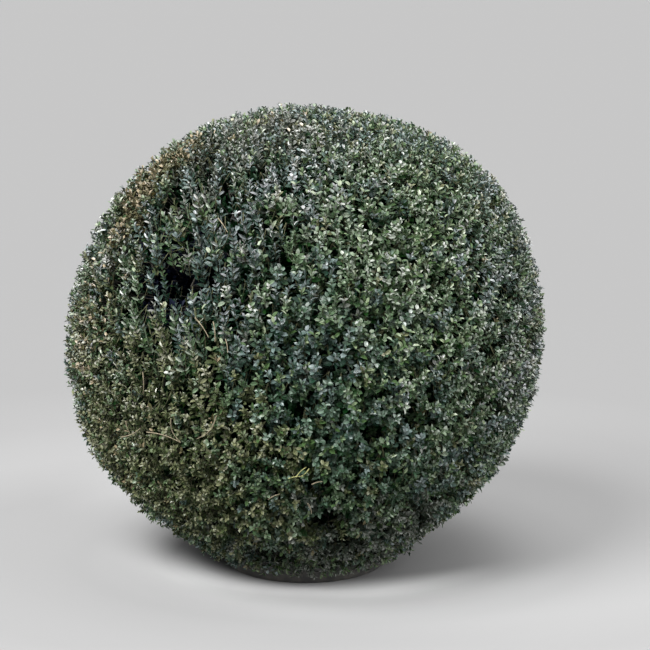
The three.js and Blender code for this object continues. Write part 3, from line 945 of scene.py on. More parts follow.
def leafy_shoot_tree():
    inputs = {
        "Leaf": ("Object", None),
        "Pairs": ("Int", 6),
        "Length": ("Float", SHOOT_LENGTH),
        "First Pair": ("Float", 0.12),
        "Open Angle": ("Float", math.radians(72)),
        "Tip Angle": ("Float", math.radians(26)),
        "Pair Turn": ("Float", math.radians(90)),
        "Twist": ("Float", 0.0),
        "Seed": ("Int", 1),
    }
    graph, take = new_tree("leafy shoot", inputs)
    pairs, seed = take("Pairs"), take("Seed")
    first = take("First Pair") * SHOOT_LENGTH
    start = graph.add("ShaderNodeCombineXYZ", {"Z": first})
    offset = graph.add("ShaderNodeCombineXYZ", {"Z": (take("Length") - first) / pairs})
    inputs = {"Count": pairs, "Start Location": start, "Offset": offset}
    line = graph.add("GeometryNodeMeshLine", inputs)
    index = graph.add("GeometryNodeInputIndex")
    along = index / graph.maths("MAXIMUM", pairs - 1, 1.0)
    sides = []
    for side in (0, 1):
        shake = random_number(graph, -OPEN_SHAKE, OPEN_SHAKE, seed + (10 + side))
        angle = take("Open Angle") + (take("Tip Angle") - take("Open Angle")) * along + shake
        shake = random_number(graph, -ROLL_SHAKE, ROLL_SHAKE, seed + (20 + side))
        stand = turned_about(graph, (0, 0, 1), index * take("Pair Turn") + side * math.pi + shake)
        lift = turned_about(graph, (1, 0, 0), math.pi / 2 - angle)
        shake = random_number(graph, -TWIST_SHAKE, TWIST_SHAKE, seed + (30 + side))
        twist = turned_about(graph, (0, 1, 0), take("Twist") * (1 - 2 * side) + shake)
        turn = turned_then(graph, turned_then(graph, stand, lift), twist)
        size = random_number(graph, *SIZE_SPREAD, seed + (40 + side))
        size = size * (FOOT_LEAF_SIZE - TIP_LEAF_LOSS * along * along)
        leaf = graph.add("GeometryNodeObjectInfo", {"Object": take("Leaf")}, "Geometry")
        leaves = put_on_points(graph, line, leaf, turn, size)
        tone = random_number(graph, *TONE_SPREAD, seed + (50 + side)) + TIP_TONE_GAIN * along
        inputs = {"Geometry": leaves, "Name": "leaf_tone", "Value": tone}
        sides.append(graph.add("GeometryNodeStoreNamedAttribute", inputs, domain="INSTANCE"))
    both = graph.tree.nodes.new("GeometryNodeJoinGeometry")
    for leaves in sides:
        graph.tree.links.new(leaves.socket, both.inputs[0])
    return finish_tree(graph, made_real(graph, Wire(graph, both.outputs[0])))


shoot_tree = leafy_shoot_tree()

# %% Run a tree and keep the plain mesh


def run_tree(tree, mesh, values):
    """Puts a tree on a mesh as a modifier, and returns the mesh that it makes."""
    source = new_object("source", mesh)
    modifier = source.modifiers.new("nodes", "NODES")
    modifier.node_group = tree
    for socket in tree.interface.items_tree:
        if socket.in_out == "INPUT" and socket.name in values:
            modifier[socket.identifier] = values[socket.name]
    graph = bpy.context.evaluated_depsgraph_get()
    finished = bpy.data.meshes.new_from_object(
        source.evaluated_get(graph), preserve_all_data_layers=True, depsgraph=graph
    )
    source.modifiers.remove(modifier)
    bpy.data.objects.remove(source)
    return finished


def triangles_of(mesh):
    mesh.calc_loop_triangles()
    return len(mesh.loop_triangles)


# %% Make the kinds of shoot
# What each number in the rows below sets. Lengths are in shares of a common shoot, and angles in
# degrees. Rows without the last two make a common shoot, and rows with them a flat spray.
SHOOT_INPUTS = ("Leaf", "Pairs", "First Pair", "Length", "Seed")
SHOOT_ANGLES = ("Open Angle", "Tip Angle", "Pair Turn", "Twist")
SHOOT_KINDS = {
    "round": [
        (round_leaf, 5, 0.12, 1.0, 3, 80, 40),
        (round_leaf, 4, 0.2, 1.0, 13, 84, 50),
        (round_leaf, 5, 0.12, 1.0, 34, 74, 44),
    ],
    "oval": [
        (oval_leaf, 5, 0.12, 1.0, 8, 78, 36),
        (oval_leaf, 5, 0.12, 1.0, 21, 72, 30),
        (oval_leaf, 4, 0.2, 1.0, 55, 82, 46),
        (oval_leaf, 5, 0.12, 1.0, 89, 76, 40),
    ],
    "slim": [
        (slim_leaf, 6, 0.1, 1.12, 5, 62, 24),
        (slim_leaf, 6, 0.1, 1.12, 14, 56, 18),
        (slim_leaf, 5, 0.1, 1.0, 31, 66, 28),
    ],
    "spear": [
        (slim_leaf, 6, 0.1, 1.6, 12, 46, 22, 6, 50),
        (slim_leaf, 5, 0.1, 1.4, 17, 50, 24, -8, 60),
        (slim_leaf, 6, 0.1, 1.5, 29, 52, 26, 10, 40),
    ],
    "foot": [(oval_leaf, 3, 0.12, 0.65, 4, 82, 60), (round_leaf, 3, 0.2, 0.65, 9, 76, 55)],
    "tip": [
        (oval_leaf, 2, 0.62, 1.0, 6, 55, 34),
        (slim_leaf, 2, 0.62, 1.0, 7, 50, 26),
        (oval_leaf, 1, 0.8, 1.0, 2, 40, 34),
    ],
}
SHADE_KINDS = {
    "shade": [(shade_leaf, 4, 0.1, 1.0, 5, 84, 40), (shade_leaf, 4, 0.2, 1.0, 6, 70, 30)]
}


def make_shoot(leaf, pairs, first, length, seed, *angles):
    values = dict(zip(SHOOT_INPUTS, (leaf, pairs, first, length * SHOOT_LENGTH, seed)))
    values.update(zip(SHOOT_ANGLES, map(math.radians, angles)))
    return run_tree(shoot_tree, new_mesh("shoot_source", []), values)


def make_shoots(name, styles):
    """A collection of shoots in the order of their names, and each style's places in it."""
    collection = bpy.data.collections.new(name)
    places = {}
    for style, kinds in styles.items():
        first = len(collection.objects)
        places[style] = range(first, first + len(kinds))
        for place, kind in zip(places[style], kinds):
            shoot = bpy.data.objects.new(f"{name}_{place:02d}", make_shoot(*kind))
            collection.objects.link(shoot)
    return collection, places


leafy_shoots, leafy_kinds = make_shoots("shoot", SHOOT_KINDS)
shade_shoots, shade_kinds = make_shoots("shade_shoot", SHADE_KINDS)
print("triangles per shoot", [triangles_of(shoot.data) for shoot in leafy_shoots.objects])

# %% [markdown]
# ## Dealing out the shoots
#
# A clipped ball carries thousands of shoots. Each could be an object of its own, but a scene of
# thousands of objects is slow. So each shoot's place, heading, size and kind is worked out by the
# growth rule and stored on a point, and a second tree puts a leafy shoot on every point. The points
# of one finish make one piece, so that each piece has one plain material, and a finish with too
# many leaves for one piece is split.

# %% The tree that deals out shoots


def deal_tree():
    inputs = {
        "Points": ("Geometry", None),
        "Shoots": ("Collection", None),
        "Finish": ("Material", None),
    }
    graph, take = new_tree("deal out shoots", inputs)
    inputs = {"Collection": take("Shoots"), "Separate Children": True, "Reset Children": True}
    kinds = graph.add("GeometryNodeCollectionInfo", inputs)
    inputs = {"Vector": stored(graph, "heading", "FLOAT_VECTOR")}
    heading = graph.add("FunctionNodeAlignRotationToVector", inputs, axis="Z")
    inputs = {"Rotation": heading, "Vector": stored(graph, "facing", "FLOAT_VECTOR")}
    turn = graph.add("FunctionNodeAlignRotationToVector", inputs, axis="Y", pivot_axis="Z")
    size, kind = stored(graph, "size", "FLOAT"), stored(graph, "kind", "INT")
    dealt = put_on_points(graph, take("Points"), kinds, turn, size, kind)
    return finish_tree(graph, made_real(graph, dealt), take("Finish"))


dealing_tree = deal_tree()

# %% [markdown]
# Leaves aren't the same all over the ball. They are larger in the middle and smaller at the lower
# left and the top, shoots stand up more at the upper left, and some places are lighter and others
# darker, in painted light and shade. One formula for the whole ball couldn't say where, so these
# places are named one by one. The far sides keep the plain rule.

# %% Where size, outline, painted light and shade, and lean change
# Each row is across, up, width and amount.
LEAF_SIZES = [
    (-0.55, -0.45, 0.45, -0.20), (-0.85, 0.0, 0.3, -0.10), (0.05, -0.05, 0.4, 0.18),
    (0.30, 0.40, 0.3, 0.10), (-0.60, 0.25, 0.30, 0.08), (-0.35, 0.45, 0.35, 0.10),
    (0.75, 0.35, 0.45, -0.14), (-0.30, 0.92, 0.30, -0.16), (0.10, -0.90, 0.30, 0.10),
]
SWELLS = [(-0.97, 0.10, 0.35, -0.007), (0.74, 0.66, 0.30, 0.006), (0.25, 0.95, 0.20, -0.006)]
# Painted light and shade: how much lighter or darker the leaves are made by place.
LIGHT_AND_SHADE_PLACES = [
    (-0.93, 0.35, 0.30, 0.26), (-0.67, 0.67, 0.12, -0.40), (-0.50, 0.82, 0.08, -0.10),
    (-0.07, 0.93, 0.10, 0.50), (-0.02, 0.68, 0.12, 0.34), (-0.23, 0.66, 0.09, 0.18),
    (0.22, 0.66, 0.10, 0.02), (-0.95, 0.14, 0.07, 0.20), (-0.85, 0.20, 0.10, 0.12),
    (-0.66, 0.45, 0.10, 0.16), (-0.80, -0.05, 0.30, 0.24), (-0.66, 0.01, 0.09, -0.30),
    (-0.50, -0.02, 0.20, 0.24), (-0.65, -0.50, 0.30, -0.16), (-0.66, -0.68, 0.12, -0.16),
    (-0.44, -0.90, 0.10, -0.20), (-0.20, -0.90, 0.10, 0.12), (-0.10, -0.25, 0.28, -0.32),
    (0.20, -0.48, 0.25, -0.26), (0.10, -0.75, 0.25, -0.10), (0.44, -0.72, 0.14, 0.14),
    (0.48, -0.88, 0.12, 0.20), (0.90, -0.18, 0.26, 0.52), (0.62, 0.00, 0.14, -0.24),
    (0.90, 0.45, 0.16, 0.64), (0.60, 0.74, 0.16, -0.16), (0.24, 0.90, 0.12, 0.18),
    (0.44, 0.90, 0.12, -0.46), (0.24, 0.90, 0.09, 0.12), (0.44, 0.36, 0.14, 0.18),
    (0.05, 0.20, 0.14, -0.34), (0.44, -0.22, 0.10, 0.42), (0.44, 0.20, 0.10, 0.10),
    (0.22, -0.66, 0.10, -0.14), (0.10, 0.0, 0.14, 0.10), (-0.24, -0.22, 0.10, -0.14),
    (-0.10, 0.62, 0.20, 0.28), (-0.42, 0.64, 0.16, 0.48), (-0.44, 0.22, 0.10, -0.10),
    (-0.53, 0.34, 0.08, -0.48), (-0.24, 0.36, 0.15, 0.36), (-0.24, 0.22, 0.10, 0.46),
]
UPRIGHT = [(-0.62, 0.38, 0.30, 1.2), (-0.57, 0.08, 0.20, 1.3), (-0.25, 0.55, 0.30, 0.5)]

leaf_sizes, swells, light_and_shade_places, upright = map(placed, (LEAF_SIZES, SWELLS, LIGHT_AND_SHADE_PLACES, UPRIGHT))


def swayed(direction, places):
    """What the places nearby add up to in one direction."""
    return sum(
        amount * nearness(direction, centre, width) for centre, width, amount in places
    )


# %% Work out each shoot's place, heading and size
ShootPlace = namedtuple("ShootPlace", "place heading facing size shoot_tone kind")

SIZE_LIMITS = (0.66, 1.25)
SIZE_WAVE = 0.2
SIZE_WAVE_WIDTH = 0.12
SIZE_WAVE_SHIFT = 1.3
SIZE_CHANCE = (0.88, 0.24)
SHOOT_LEAN = 0.8
LEAN_START = -0.9
LEAN_SPAN = 0.5
SHOOT_SHAKE = 0.4
UPRIGHT_STEADY = 0.6
# How far a shoot's own leaves stand out from it, flat on the ball and upright.
LEAF_REACH = (0.3, 0.7)
LOWEST_LEAF = 0.026
SHADED_DEPTH = 0.030
OPEN_TONE = 0.71
CHANCE_TONE = 0.28
UNDERSIDE_SHADE = 0.52
UNDERSIDE_START = 0.05
UNDERSIDE_SPAN = 0.75
RIM_SHADE = 0.55
STYLE_LENGTHS = {"spear": 1.5, "slim": 1.1}
SPREAD_FLAT = {"spear": 3.0}


def lean_of(direction):
    """Shoots turn up towards the light, but those under the ball hang out and down."""
    rising = held((direction.z - LEAN_START) / LEAN_SPAN)
    return SHOOT_LEAN * rising + swayed(direction, upright)


def tone_of(direction, depth, draw):
    """How light a shoot is, in painted shade where set back, under the ball and round a hollow."""
    open_air = max(0.0, 1 - depth / SHADED_DEPTH)
    underside = held((UNDERSIDE_START - direction.z) / UNDERSIDE_SPAN)
    tone = (OPEN_TONE * open_air + CHANCE_TONE * draw()) * (1 - UNDERSIDE_SHADE * underside)
    return tone * ((1 + swayed(direction, light_and_shade_places)) * (1 - RIM_SHADE * near_hollow(direction)))


def place_shoot(limb, draw, style):
    """Where a limb's leafy shoot goes, or None if it would touch the ground."""
    direction = limb.direction
    depth = set_back(direction, draw)
    wave = SIZE_WAVE * clump(direction, SIZE_WAVE_WIDTH, SIZE_WAVE_SHIFT)
    size = 1.0 + wave + swayed(direction, leaf_sizes)
    size = size * (SIZE_CHANCE[0] + SIZE_CHANCE[1] * draw())
    size = max(SIZE_LIMITS[0], min(SIZE_LIMITS[1], size))
    steady = 1 - UPRIGHT_STEADY * min(1.0, swayed(direction, upright))
    shake = random_vector(draw) * SHOOT_SHAKE * steady
    heading = (direction + up * lean_of(direction) + shake).normalized()
    facing = random_vector(draw) + up.cross(direction) * SPREAD_FLAT.get(style, 0.0)
    rising = max(0.0, heading.dot(direction))
    reach = LEAF_LENGTH * size * (LEAF_REACH[0] + LEAF_REACH[1] * rising)
    tip = limb.end - direction * (depth + reach - swayed(direction, swells))
    foot = tip - heading * SHOOT_LENGTH * size * STYLE_LENGTHS.get(style, 1.0)
    if min(tip.z, foot.z) < LOWEST_LEAF:
        return None
    tone = tone_of(direction, depth, draw)
    return ShootPlace(clear_of_pot(foot), heading, facing, size, tone, 0)


# %% Deal a finish and a kind to every shoot
BARE_DEPTH = 0.03
BARE_SHARE = 0.74
THIN_SHARE = 0.48


def is_bare(direction, draw):
    """Whether a limb has lost its leaves, as most have in a hollow."""
    in_hollow = hollow_depth(direction) > BARE_DEPTH and draw() < BARE_SHARE
    return draw() < THIN_SHARE * min(1.0, swayed(direction, upright)) or in_hollow


def of_style(shoot, style, kinds, draw):
    places = kinds[style]
    return shoot._replace(kind=places[int(draw() * len(places))])


dealt = {name: [] for name in FINISHES}
leafy_limbs = []
for limb in shoots:
    finish = picked_for(limb.direction, SHOOT_ODDS, draw)
    tip_finish = picked_for(limb.direction, TIP_ODDS, draw)
    style = picked_for(limb.direction, STYLE_ODDS, draw)
    bare = is_bare(limb.direction, draw)
    shoot = place_shoot(limb, draw, style if tip_finish == "none" else "tip")
    if bare or shoot is None:
        continue
    leafy_limbs.append((limb, shoot))
    if tip_finish != "none":
        dealt[tip_finish].append(of_style(shoot, "tip", leafy_kinds, draw))
        style = "foot"
    dealt[finish].append(of_style(shoot, style, leafy_kinds, draw))
for limb in shaded:
    finish = picked_for(limb.direction, SHADE_ODDS, draw)
    shoot = place_shoot(limb, draw, "shade")
    if shoot:
        dealt[finish].append(of_style(shoot, "shade", shade_kinds, draw))
print("shoots of each finish", {name: len(places) for name, places in dealt.items()})

# %% Make the leaf pieces
MOST_TRIANGLES = 195_000
MOST_SHOOT_TRIANGLES = 62

triangles = {}


def link_piece(name, mesh, *nodes, slot):
    piece = new_object(name, mesh)
    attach(piece, "root")
    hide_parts(*nodes)
    triangles[name] = triangles_of(mesh)
    print(name, triangles[name], "triangles")


def points_mesh(places):
    mesh = new_mesh("shoot_points", [shoot.place for shoot in places])
    for name in ("heading", "facing"):
        numbers = mesh.attributes.new(name, "FLOAT_VECTOR", "POINT").data
        numbers.foreach_set("vector", [n for shoot in places for n in getattr(shoot, name)])
    for name, kind in (("size", "FLOAT"), ("shoot_tone", "FLOAT"), ("kind", "INT")):
        numbers = mesh.attributes.new(name, kind, "POINT").data
        numbers.foreach_set("value", [getattr(shoot, name) for shoot in places])
    return mesh


most_shoots = MOST_TRIANGLES // MOST_SHOOT_TRIANGLES
for finish, places in dealt.items():
    collection = shade_shoots if finish in SHADE_ODDS else leafy_shoots
    values = {"Shoots": collection, "Finish": leaf_materials[finish]}
    parts = math.ceil(len(places) / most_shoots)
    for part in range(parts):
        name = "leaves_" + finish + ("_" + str(part + 1) if parts > 1 else "")
        leaves = run_tree(dealing_tree, points_mesh(places[part::parts]), values)
        link_piece(name, leaves, "foliage_ball", slot="leaf")
print("leaf triangles in all", sum(triangles.values()))

# %% [markdown]
# ## Twigs
#
# Under the leaves the limbs fork again and again down to green stalks. They could be skinned as one
# mesh, but a path of three points with a girth at each is enough for limbs this thin. A tree turns
# paths into tubes, with more sides for the thick ones, and closes their ends.

# %% Bark and stalk finishes
BARK_STRETCH = (1, 1, 0.3)


def make_bark_material(name, dark, light, scale):
    material, graph = new_material(name)
    inputs = {"Vector": object_place(graph), "Scale": BARK_STRETCH}
    furrows = cloudy(graph, graph.add("ShaderNodeMapping", inputs), scale, 6.0, 0.65)
    colour = graph.mix(between(graph, furrows, 0.35, 0.65), opaque(dark), opaque(light))
    bump = bumpy(graph, furrows, 0.6, 0.002)
    finish_material(graph, {"Base Color": colour, "Roughness": 0.85, "Normal": bump})
    return material


bark = make_bark_material("bark", (0.13, 0.095, 0.055), (0.34, 0.27, 0.17), 90)
# The inner twigs' bark is nearly black, painted with the shade they stand in.
painted_shade_twig_bark = make_bark_material("painted_shade_twig_bark", (0.008, 0.007, 0.005), (0.026, 0.022, 0.015), 220)
green_stalk = make_bark_material("green_stalk", (0.035, 0.042, 0.016), (0.10, 0.10, 0.045), 300)

# %% The tree that turns paths into limbs


def limb_tree():
    inputs = {"Paths": ("Geometry", None), "Sides": ("Int", 3), "Bark": ("Material", None)}
    graph, take = new_tree("limbs from paths", inputs)
    curve = graph.add("GeometryNodeMeshToCurve", {"Mesh": take("Paths")})
    inputs = {"Resolution": take("Sides"), "Radius": 1.0}
    section = graph.add("GeometryNodeCurvePrimitiveCircle", inputs)
    girth = stored(graph, "girth", "FLOAT")
    inputs = {"Curve": curve, "Profile Curve": section, "Scale": girth, "Fill Caps": True}
    tube = graph.add("GeometryNodeCurveToMesh", inputs)
    smooth = graph.add("GeometryNodeSetShadeSmooth", {"Geometry": tube})
    return finish_tree(graph, smooth, take("Bark"))


path_tree = limb_tree()

# %% Paths for the limbs
# How much of a limb's drawing back its knee takes part in.
KNEE_SHARE = 0.8
STALK_GIRTHS = (0.0011, 0.0009, 0.0005)
STALK_SIDES = 3
STALK_REACH = 0.92


def paths_mesh(paths):
    """Joined paths as a mesh of edges, from lists of (point, girth)."""
    points, edges, girths = [], [], []
    for path in paths:
        for step, (point, girth) in enumerate(path):
            if step:
                edges.append((len(points) - 1, len(points)))
            points.append(point)
            girths.append(girth)
    mesh = new_mesh("paths", points, edges)
    mesh.attributes.new("girth", "FLOAT", "POINT").data.foreach_set("value", girths)
    return mesh


def limb_path(limb, foot_girth, tip_girth):
    middle = (foot_girth + tip_girth) / 2
    return [(limb.start, foot_girth), (limb.knee, middle), (limb.end, tip_girth)]


def drawn_in(limb):
    """The same limb, drawn back from the hollow that it would stand in."""
    depth = limb.direction * hollow_depth(limb.direction)
    return limb._replace(knee=limb.knee - depth * KNEE_SHARE, end=limb.end - depth)


def stalk_path(limb, shoot):
    """From the sprig up through a leafy shoot, nearly to its tip."""
    start = limb.start - limb.direction * hollow_depth(limb.direction)
    tip = shoot.place + shoot.heading * (STALK_REACH * SHOOT_LENGTH * shoot.size)
    return list(zip((start, shoot.place, tip), STALK_GIRTHS))


# %% Make the twigs and stalks
# The limbs of each piece, their girth at the foot and the tip, sides and bark.
LIMB_PIECES = {
    "branches": (branches, 0.0085, 0.0055, 8, bark),
    "stems_outer": (stems, 0.0055, 0.0035, 7, bark),
    "twigs": ([drawn_in(limb) for limb in twigs], 0.0034, 0.002, 5, painted_shade_twig_bark),
    "sprigs": ([drawn_in(limb) for limb in sprigs], 0.002, 0.0012, 3, painted_shade_twig_bark),
}


def make_limbs(name, paths, sides, material):
    mesh = run_tree(path_tree, paths_mesh(paths), {"Sides": sides, "Bark": material})
    link_piece(name, mesh, "foliage_ball", slot="leaf")


for name, (limbs, foot_girth, tip_girth, sides, material) in LIMB_PIECES.items():
    paths = [limb_path(limb, foot_girth, tip_girth) for limb in limbs]
    make_limbs(name, paths, sides, material)
stalks = [stalk_path(limb, shoot) for limb, shoot in leafy_limbs]
make_limbs("stalks_1", stalks[0::2], STALK_SIDES, green_stalk)
make_limbs("stalks_2", stalks[1::2], STALK_SIDES, green_stalk)

# %% [markdown]
# ## Stem and boughs
#
# The short trunk flares into the soil and forks at once into seven boughs, which is how a boxwood
# that has been cut back every year grows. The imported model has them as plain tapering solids. Here
# each bough is a fine tube along the same curve, and a noise pushes its surface in and out for the
# corky furrows, so that the relief is in the mesh and not only in the shading.

# %% The curve of a bough
FORK_SPREAD_DOWN = 0.42
FORK_SPREAD_OUT = 0.009
BOUGH_RISE = 0.022
BOUGH_BELLY = 0.012
BOUGH_GIRTHS = (0.014, 0.009)
BOUGH_SIDES = 20
BOUGH_STEPS = 28


def bough_path(bough, rank):
    """A smooth curve through the root, the middle and the end, with a girth at each step."""
    outward = Vector((bough.end.x, bough.end.y, 0)).normalized()
    root = stem_point(1 - FORK_SPREAD_DOWN * rank) + outward * FORK_SPREAD_OUT * rank
    middle = root.lerp(bough.end, 0.5) + up * BOUGH_RISE * rank + outward * BOUGH_BELLY
    pull = middle * 2 - (root + bough.end) / 2
    foot_girth, end_girth = BOUGH_GIRTHS
    path = []
    for step in range(BOUGH_STEPS + 1):
        share = step / BOUGH_STEPS
        place = root.lerp(pull, share).lerp(pull.lerp(bough.end, share), share)
        path.append((place, foot_girth + (end_girth - foot_girth) * share))
    return path


# %% The stem as rings
STEM_FOOT_GIRTH = 0.046
STEM_TOP_GIRTH = 0.027
STEM_FLARE = 0.020
STEM_CROWN = 0.72
FLUTES = 5
FLUTE_DEPTH = 0.14
STEM_SIDES = 60
STEM_RINGS = 22


def ring_faces(rings, sides):
    """The faces between rings of points, and the two ends."""
    faces = []
    for ring in range(rings - 1):
        for side in range(sides):
            first = ring * sides + side
            second = ring * sides + (side + 1) % sides
            faces.append((first, second, second + sides, first + sides))
    faces.append(tuple(reversed(range(sides))))
    faces.append(tuple(range((rings - 1) * sides, rings * sides)))
    return faces


def stem_mesh():
    height = stem_high.z - stem_low.z
    points = []
    for ring in range(STEM_RINGS + 1):
        share = ring / STEM_RINGS
        flare = math.exp(-share * height / STEM_FLARE)
        girth = STEM_TOP_GIRTH + (STEM_FOOT_GIRTH - STEM_TOP_GIRTH) * flare
        girth *= STEM_CROWN + (1 - STEM_CROWN) * (1 - share**8)
        for side in range(STEM_SIDES):
            angle = 2 * math.pi * side / STEM_SIDES
            across = girth * (1 + FLUTE_DEPTH * flare * math.cos(FLUTES * angle))
            outward = Vector((math.cos(angle), math.sin(angle), 0))
            points.append(stem_point(share) + outward * across)
    return new_mesh("stem", points, faces=ring_faces(STEM_RINGS + 1, STEM_SIDES))


# %% The tree that raises the bark
BARK_RELIEF = 0.0022
BARK_GRAIN = 70
GRAIN_STRETCH = (1.0, 1.0, 0.35)


def relief_tree():
    inputs = {
        "Wood": ("Geometry", None),
        "Relief": ("Float", BARK_RELIEF),
        "Grain": ("Float", BARK_GRAIN),
        "Bark": ("Material", None),
    }
    graph, take = new_tree("bark relief", inputs)
    stretched = graph.add("GeometryNodeInputPosition") * GRAIN_STRETCH
    furrows = cloudy(graph, stretched, take("Grain"), 4.0, 0.5)
    normal = graph.add("GeometryNodeInputNormal")
    inputs = {0: normal, "Scale": (furrows - 0.5) * 2 * take("Relief")}
    push = graph.add("ShaderNodeVectorMath", inputs, operation="SCALE")
    rough = graph.add("GeometryNodeSetPosition", {"Geometry": take("Wood"), "Offset": push})
    smooth = graph.add("GeometryNodeSetShadeSmooth", {"Geometry": rough})
    return finish_tree(graph, smooth, take("Bark"))


bark_tree = relief_tree()

# %% Make the stem and the boughs
bough_paths = [bough_path(bough, place / (len(boughs) - 1)) for place, bough in enumerate(boughs)]
bough_tubes = run_tree(path_tree, paths_mesh(bough_paths), {"Sides": BOUGH_SIDES, "Bark": bark})
stem_relief = run_tree(bark_tree, stem_mesh(), {"Bark": bark})
bough_relief = run_tree(bark_tree, bough_tubes, {"Bark": bark})
bough_nodes = [f"bough_{number + 1}" for number in range(len(boughs))]
link_piece("stem_bark", stem_relief, "stem", slot="bark")
link_piece("bough_bark", bough_relief, *bough_nodes, slot="bark")

# %% [markdown]
# ## Pot
#
# The pot is a plain tapering nursery container, turned from one outline. It could be left as the
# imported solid, but a turned outline gives the lip its round edge. The drain holes are cut through
# the floor by a Boolean, which is simpler than building the floor round five holes.

# %% Turn the pot
POT_SIDES = 96
POT_WALL = 0.005
POT_FLOOR = 0.007
LIP_DROP = 0.024
LIP_EDGE = 0.004
LIP_BEVEL = 0.001
WALL_UNDER_LIP = 0.06
FOOT_ROUND = 0.005
# The height of each corner of a raised line round the foot, and how far it stands out.
FOOT_LINE = [(0.03, 0), (0.031, 0.001), (0.036, 0.001), (0.037, 0)]


def turned(name, outline, sides):
    """A closed solid of revolution from an outline of (across, height)."""
    points = []
    for across, height in outline:
        for side in range(sides):
            angle = 2 * math.pi * side / sides
            points.append((across * math.cos(angle), across * math.sin(angle), height))
    return new_mesh(name, points, faces=ring_faces(len(outline), sides))


def pot_outline():
    top = pot_high.z
    lip = top - LIP_DROP
    wall = pot_radius_at(lip)
    rim = pot_rim_radius + LIP_OUT
    inner = pot_rim_radius - POT_WALL
    return [
        (pot_foot_radius - FOOT_ROUND, 0),
        (pot_foot_radius - 0.3 * FOOT_ROUND, 0.2 * FOOT_ROUND),
        (pot_radius_at(FOOT_ROUND), FOOT_ROUND),
        *[(pot_radius_at(height) + out, height) for height, out in FOOT_LINE],
        (pot_radius_at(lip - WALL_UNDER_LIP), lip - WALL_UNDER_LIP),
        (wall, lip),
        (wall + 0.6 * LIP_OUT, lip),
        (rim - LIP_BEVEL, lip + LIP_BEVEL),
        (rim, lip + LIP_EDGE),
        (rim, top - LIP_EDGE),
        (rim - 0.3 * LIP_EDGE, top - 0.3 * LIP_EDGE),
        (rim - LIP_EDGE, top),
        (inner + 0.3 * POT_WALL, top),
        (inner, top - 0.3 * POT_WALL),
        (wall - POT_WALL, lip),
        (pot_radius_at(POT_FLOOR) - POT_WALL, POT_FLOOR),
    ]


# %% Cut the drain holes
DRAINS = 5
DRAIN_GIRTH = 0.009
DRAIN_RING = 0.120
DRAIN_SIDES = 20
DRAIN_CUT = 0.05


def drain_cutter():
    mesh = bpy.data.meshes.new("drains")
    shape = bmesh.new()
    sizes = {"radius1": DRAIN_GIRTH, "radius2": DRAIN_GIRTH, "depth": DRAIN_CUT}
    for number in range(DRAINS):
        hole = bmesh.ops.create_cone(shape, cap_ends=True, segments=DRAIN_SIDES, **sizes)
        angle = 2 * math.pi * number / DRAINS
        shift = Vector((DRAIN_RING * math.cos(angle), DRAIN_RING * math.sin(angle), 0))
        bmesh.ops.translate(shape, verts=hole["verts"], vec=shift)
    shape.to_mesh(mesh)
    shape.free()
    return new_object("drains", mesh)


def cut_with(mesh, cutter):
    body = new_object("body", mesh)
    cut = body.modifiers.new("cut", "BOOLEAN")
    cut.operation = "DIFFERENCE"
    cut.object = cutter
    cut.solver = "EXACT"
    graph = bpy.context.evaluated_depsgraph_get()
    finished = bpy.data.meshes.new_from_object(body.evaluated_get(graph), depsgraph=graph)
    for thing in (body, cutter):
        bpy.data.objects.remove(thing)
    return finished


def smooth_by_angle(mesh, angle):
    mesh.polygons.foreach_set("use_smooth", [True] * len(mesh.polygons))
    mesh.set_sharp_from_angle(angle=math.radians(angle))


# %% Colour the pot
CHARCOAL = (0.020, 0.021, 0.022)
DUST = (0.105, 0.095, 0.08)
DUST_HEIGHT = 0.06
LEAST_DUST = 0.15
MORE_DUST = 0.6


def pot_material():
    material, graph = new_material("charcoal_pot")
    place = object_place(graph)
    height = part_of(graph, place, "Z")
    speckle = cloudy(graph, place, 55, 5.0, 0.55)
    dust = between(graph, speckle, 0.4, 0.75) * (1 - between(graph, height, 0.0, DUST_HEIGHT))
    colour = graph.mix(LEAST_DUST + MORE_DUST * dust, opaque(CHARCOAL), opaque(DUST))
    grain = bumpy(graph, speckle, 0.15, 0.0005)
    finish_material(graph, {"Base Color": colour, "Roughness": 0.6 + 0.25 * dust, "Normal": grain})
    return material


pot_mesh = cut_with(turned("pot", pot_outline(), POT_SIDES), drain_cutter())
smooth_by_angle(pot_mesh, 40)
pot_mesh.materials.clear()
pot_mesh.materials.append(pot_material())
link_piece("pot_wall", pot_mesh, "pot", slot="pot")

# %% [markdown]
# ## Soil
#
# Moist potting soil fills the pot to a little below the rim, under the bare inside of the ball. The
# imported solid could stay, but it is smooth. So its surface is a turned disc made uneven by noise,
# with bark crumbs scattered on it by a small tree.

# %% Shape the soil
SOIL_GAP = 0.0003
SOIL_EDGE_DROP = 0.012
SOIL_FLAT_GIRTH = 0.078
SOIL_EYE = 0.01
SOIL_SIDES = 72
SOIL_RINGS = 14
SOIL_ROUGHNESS = 0.003
ROUGH_ABOVE = 0.2
ROUGH_WITHIN = 0.235
ROUGH_GRAIN = 45
ROUGH_SINK = 0.3


def soil_outline():
    top = soil_high.z
    bottom = POT_FLOOR + SOIL_GAP
    edge = pot_radius_at(top - SOIL_EDGE_DROP) - POT_WALL - SOIL_GAP
    outline = [(pot_radius_at(bottom) - POT_WALL - SOIL_GAP, bottom)]
    for ring in range(SOIL_RINGS + 1):
        share = ring / SOIL_RINGS
        across = edge + (SOIL_EYE - edge) * share
        slope = max(0.0, (across - SOIL_FLAT_GIRTH) / (edge - SOIL_FLAT_GIRTH))
        outline.append((across, top - SOIL_EDGE_DROP * slope))
    return outline


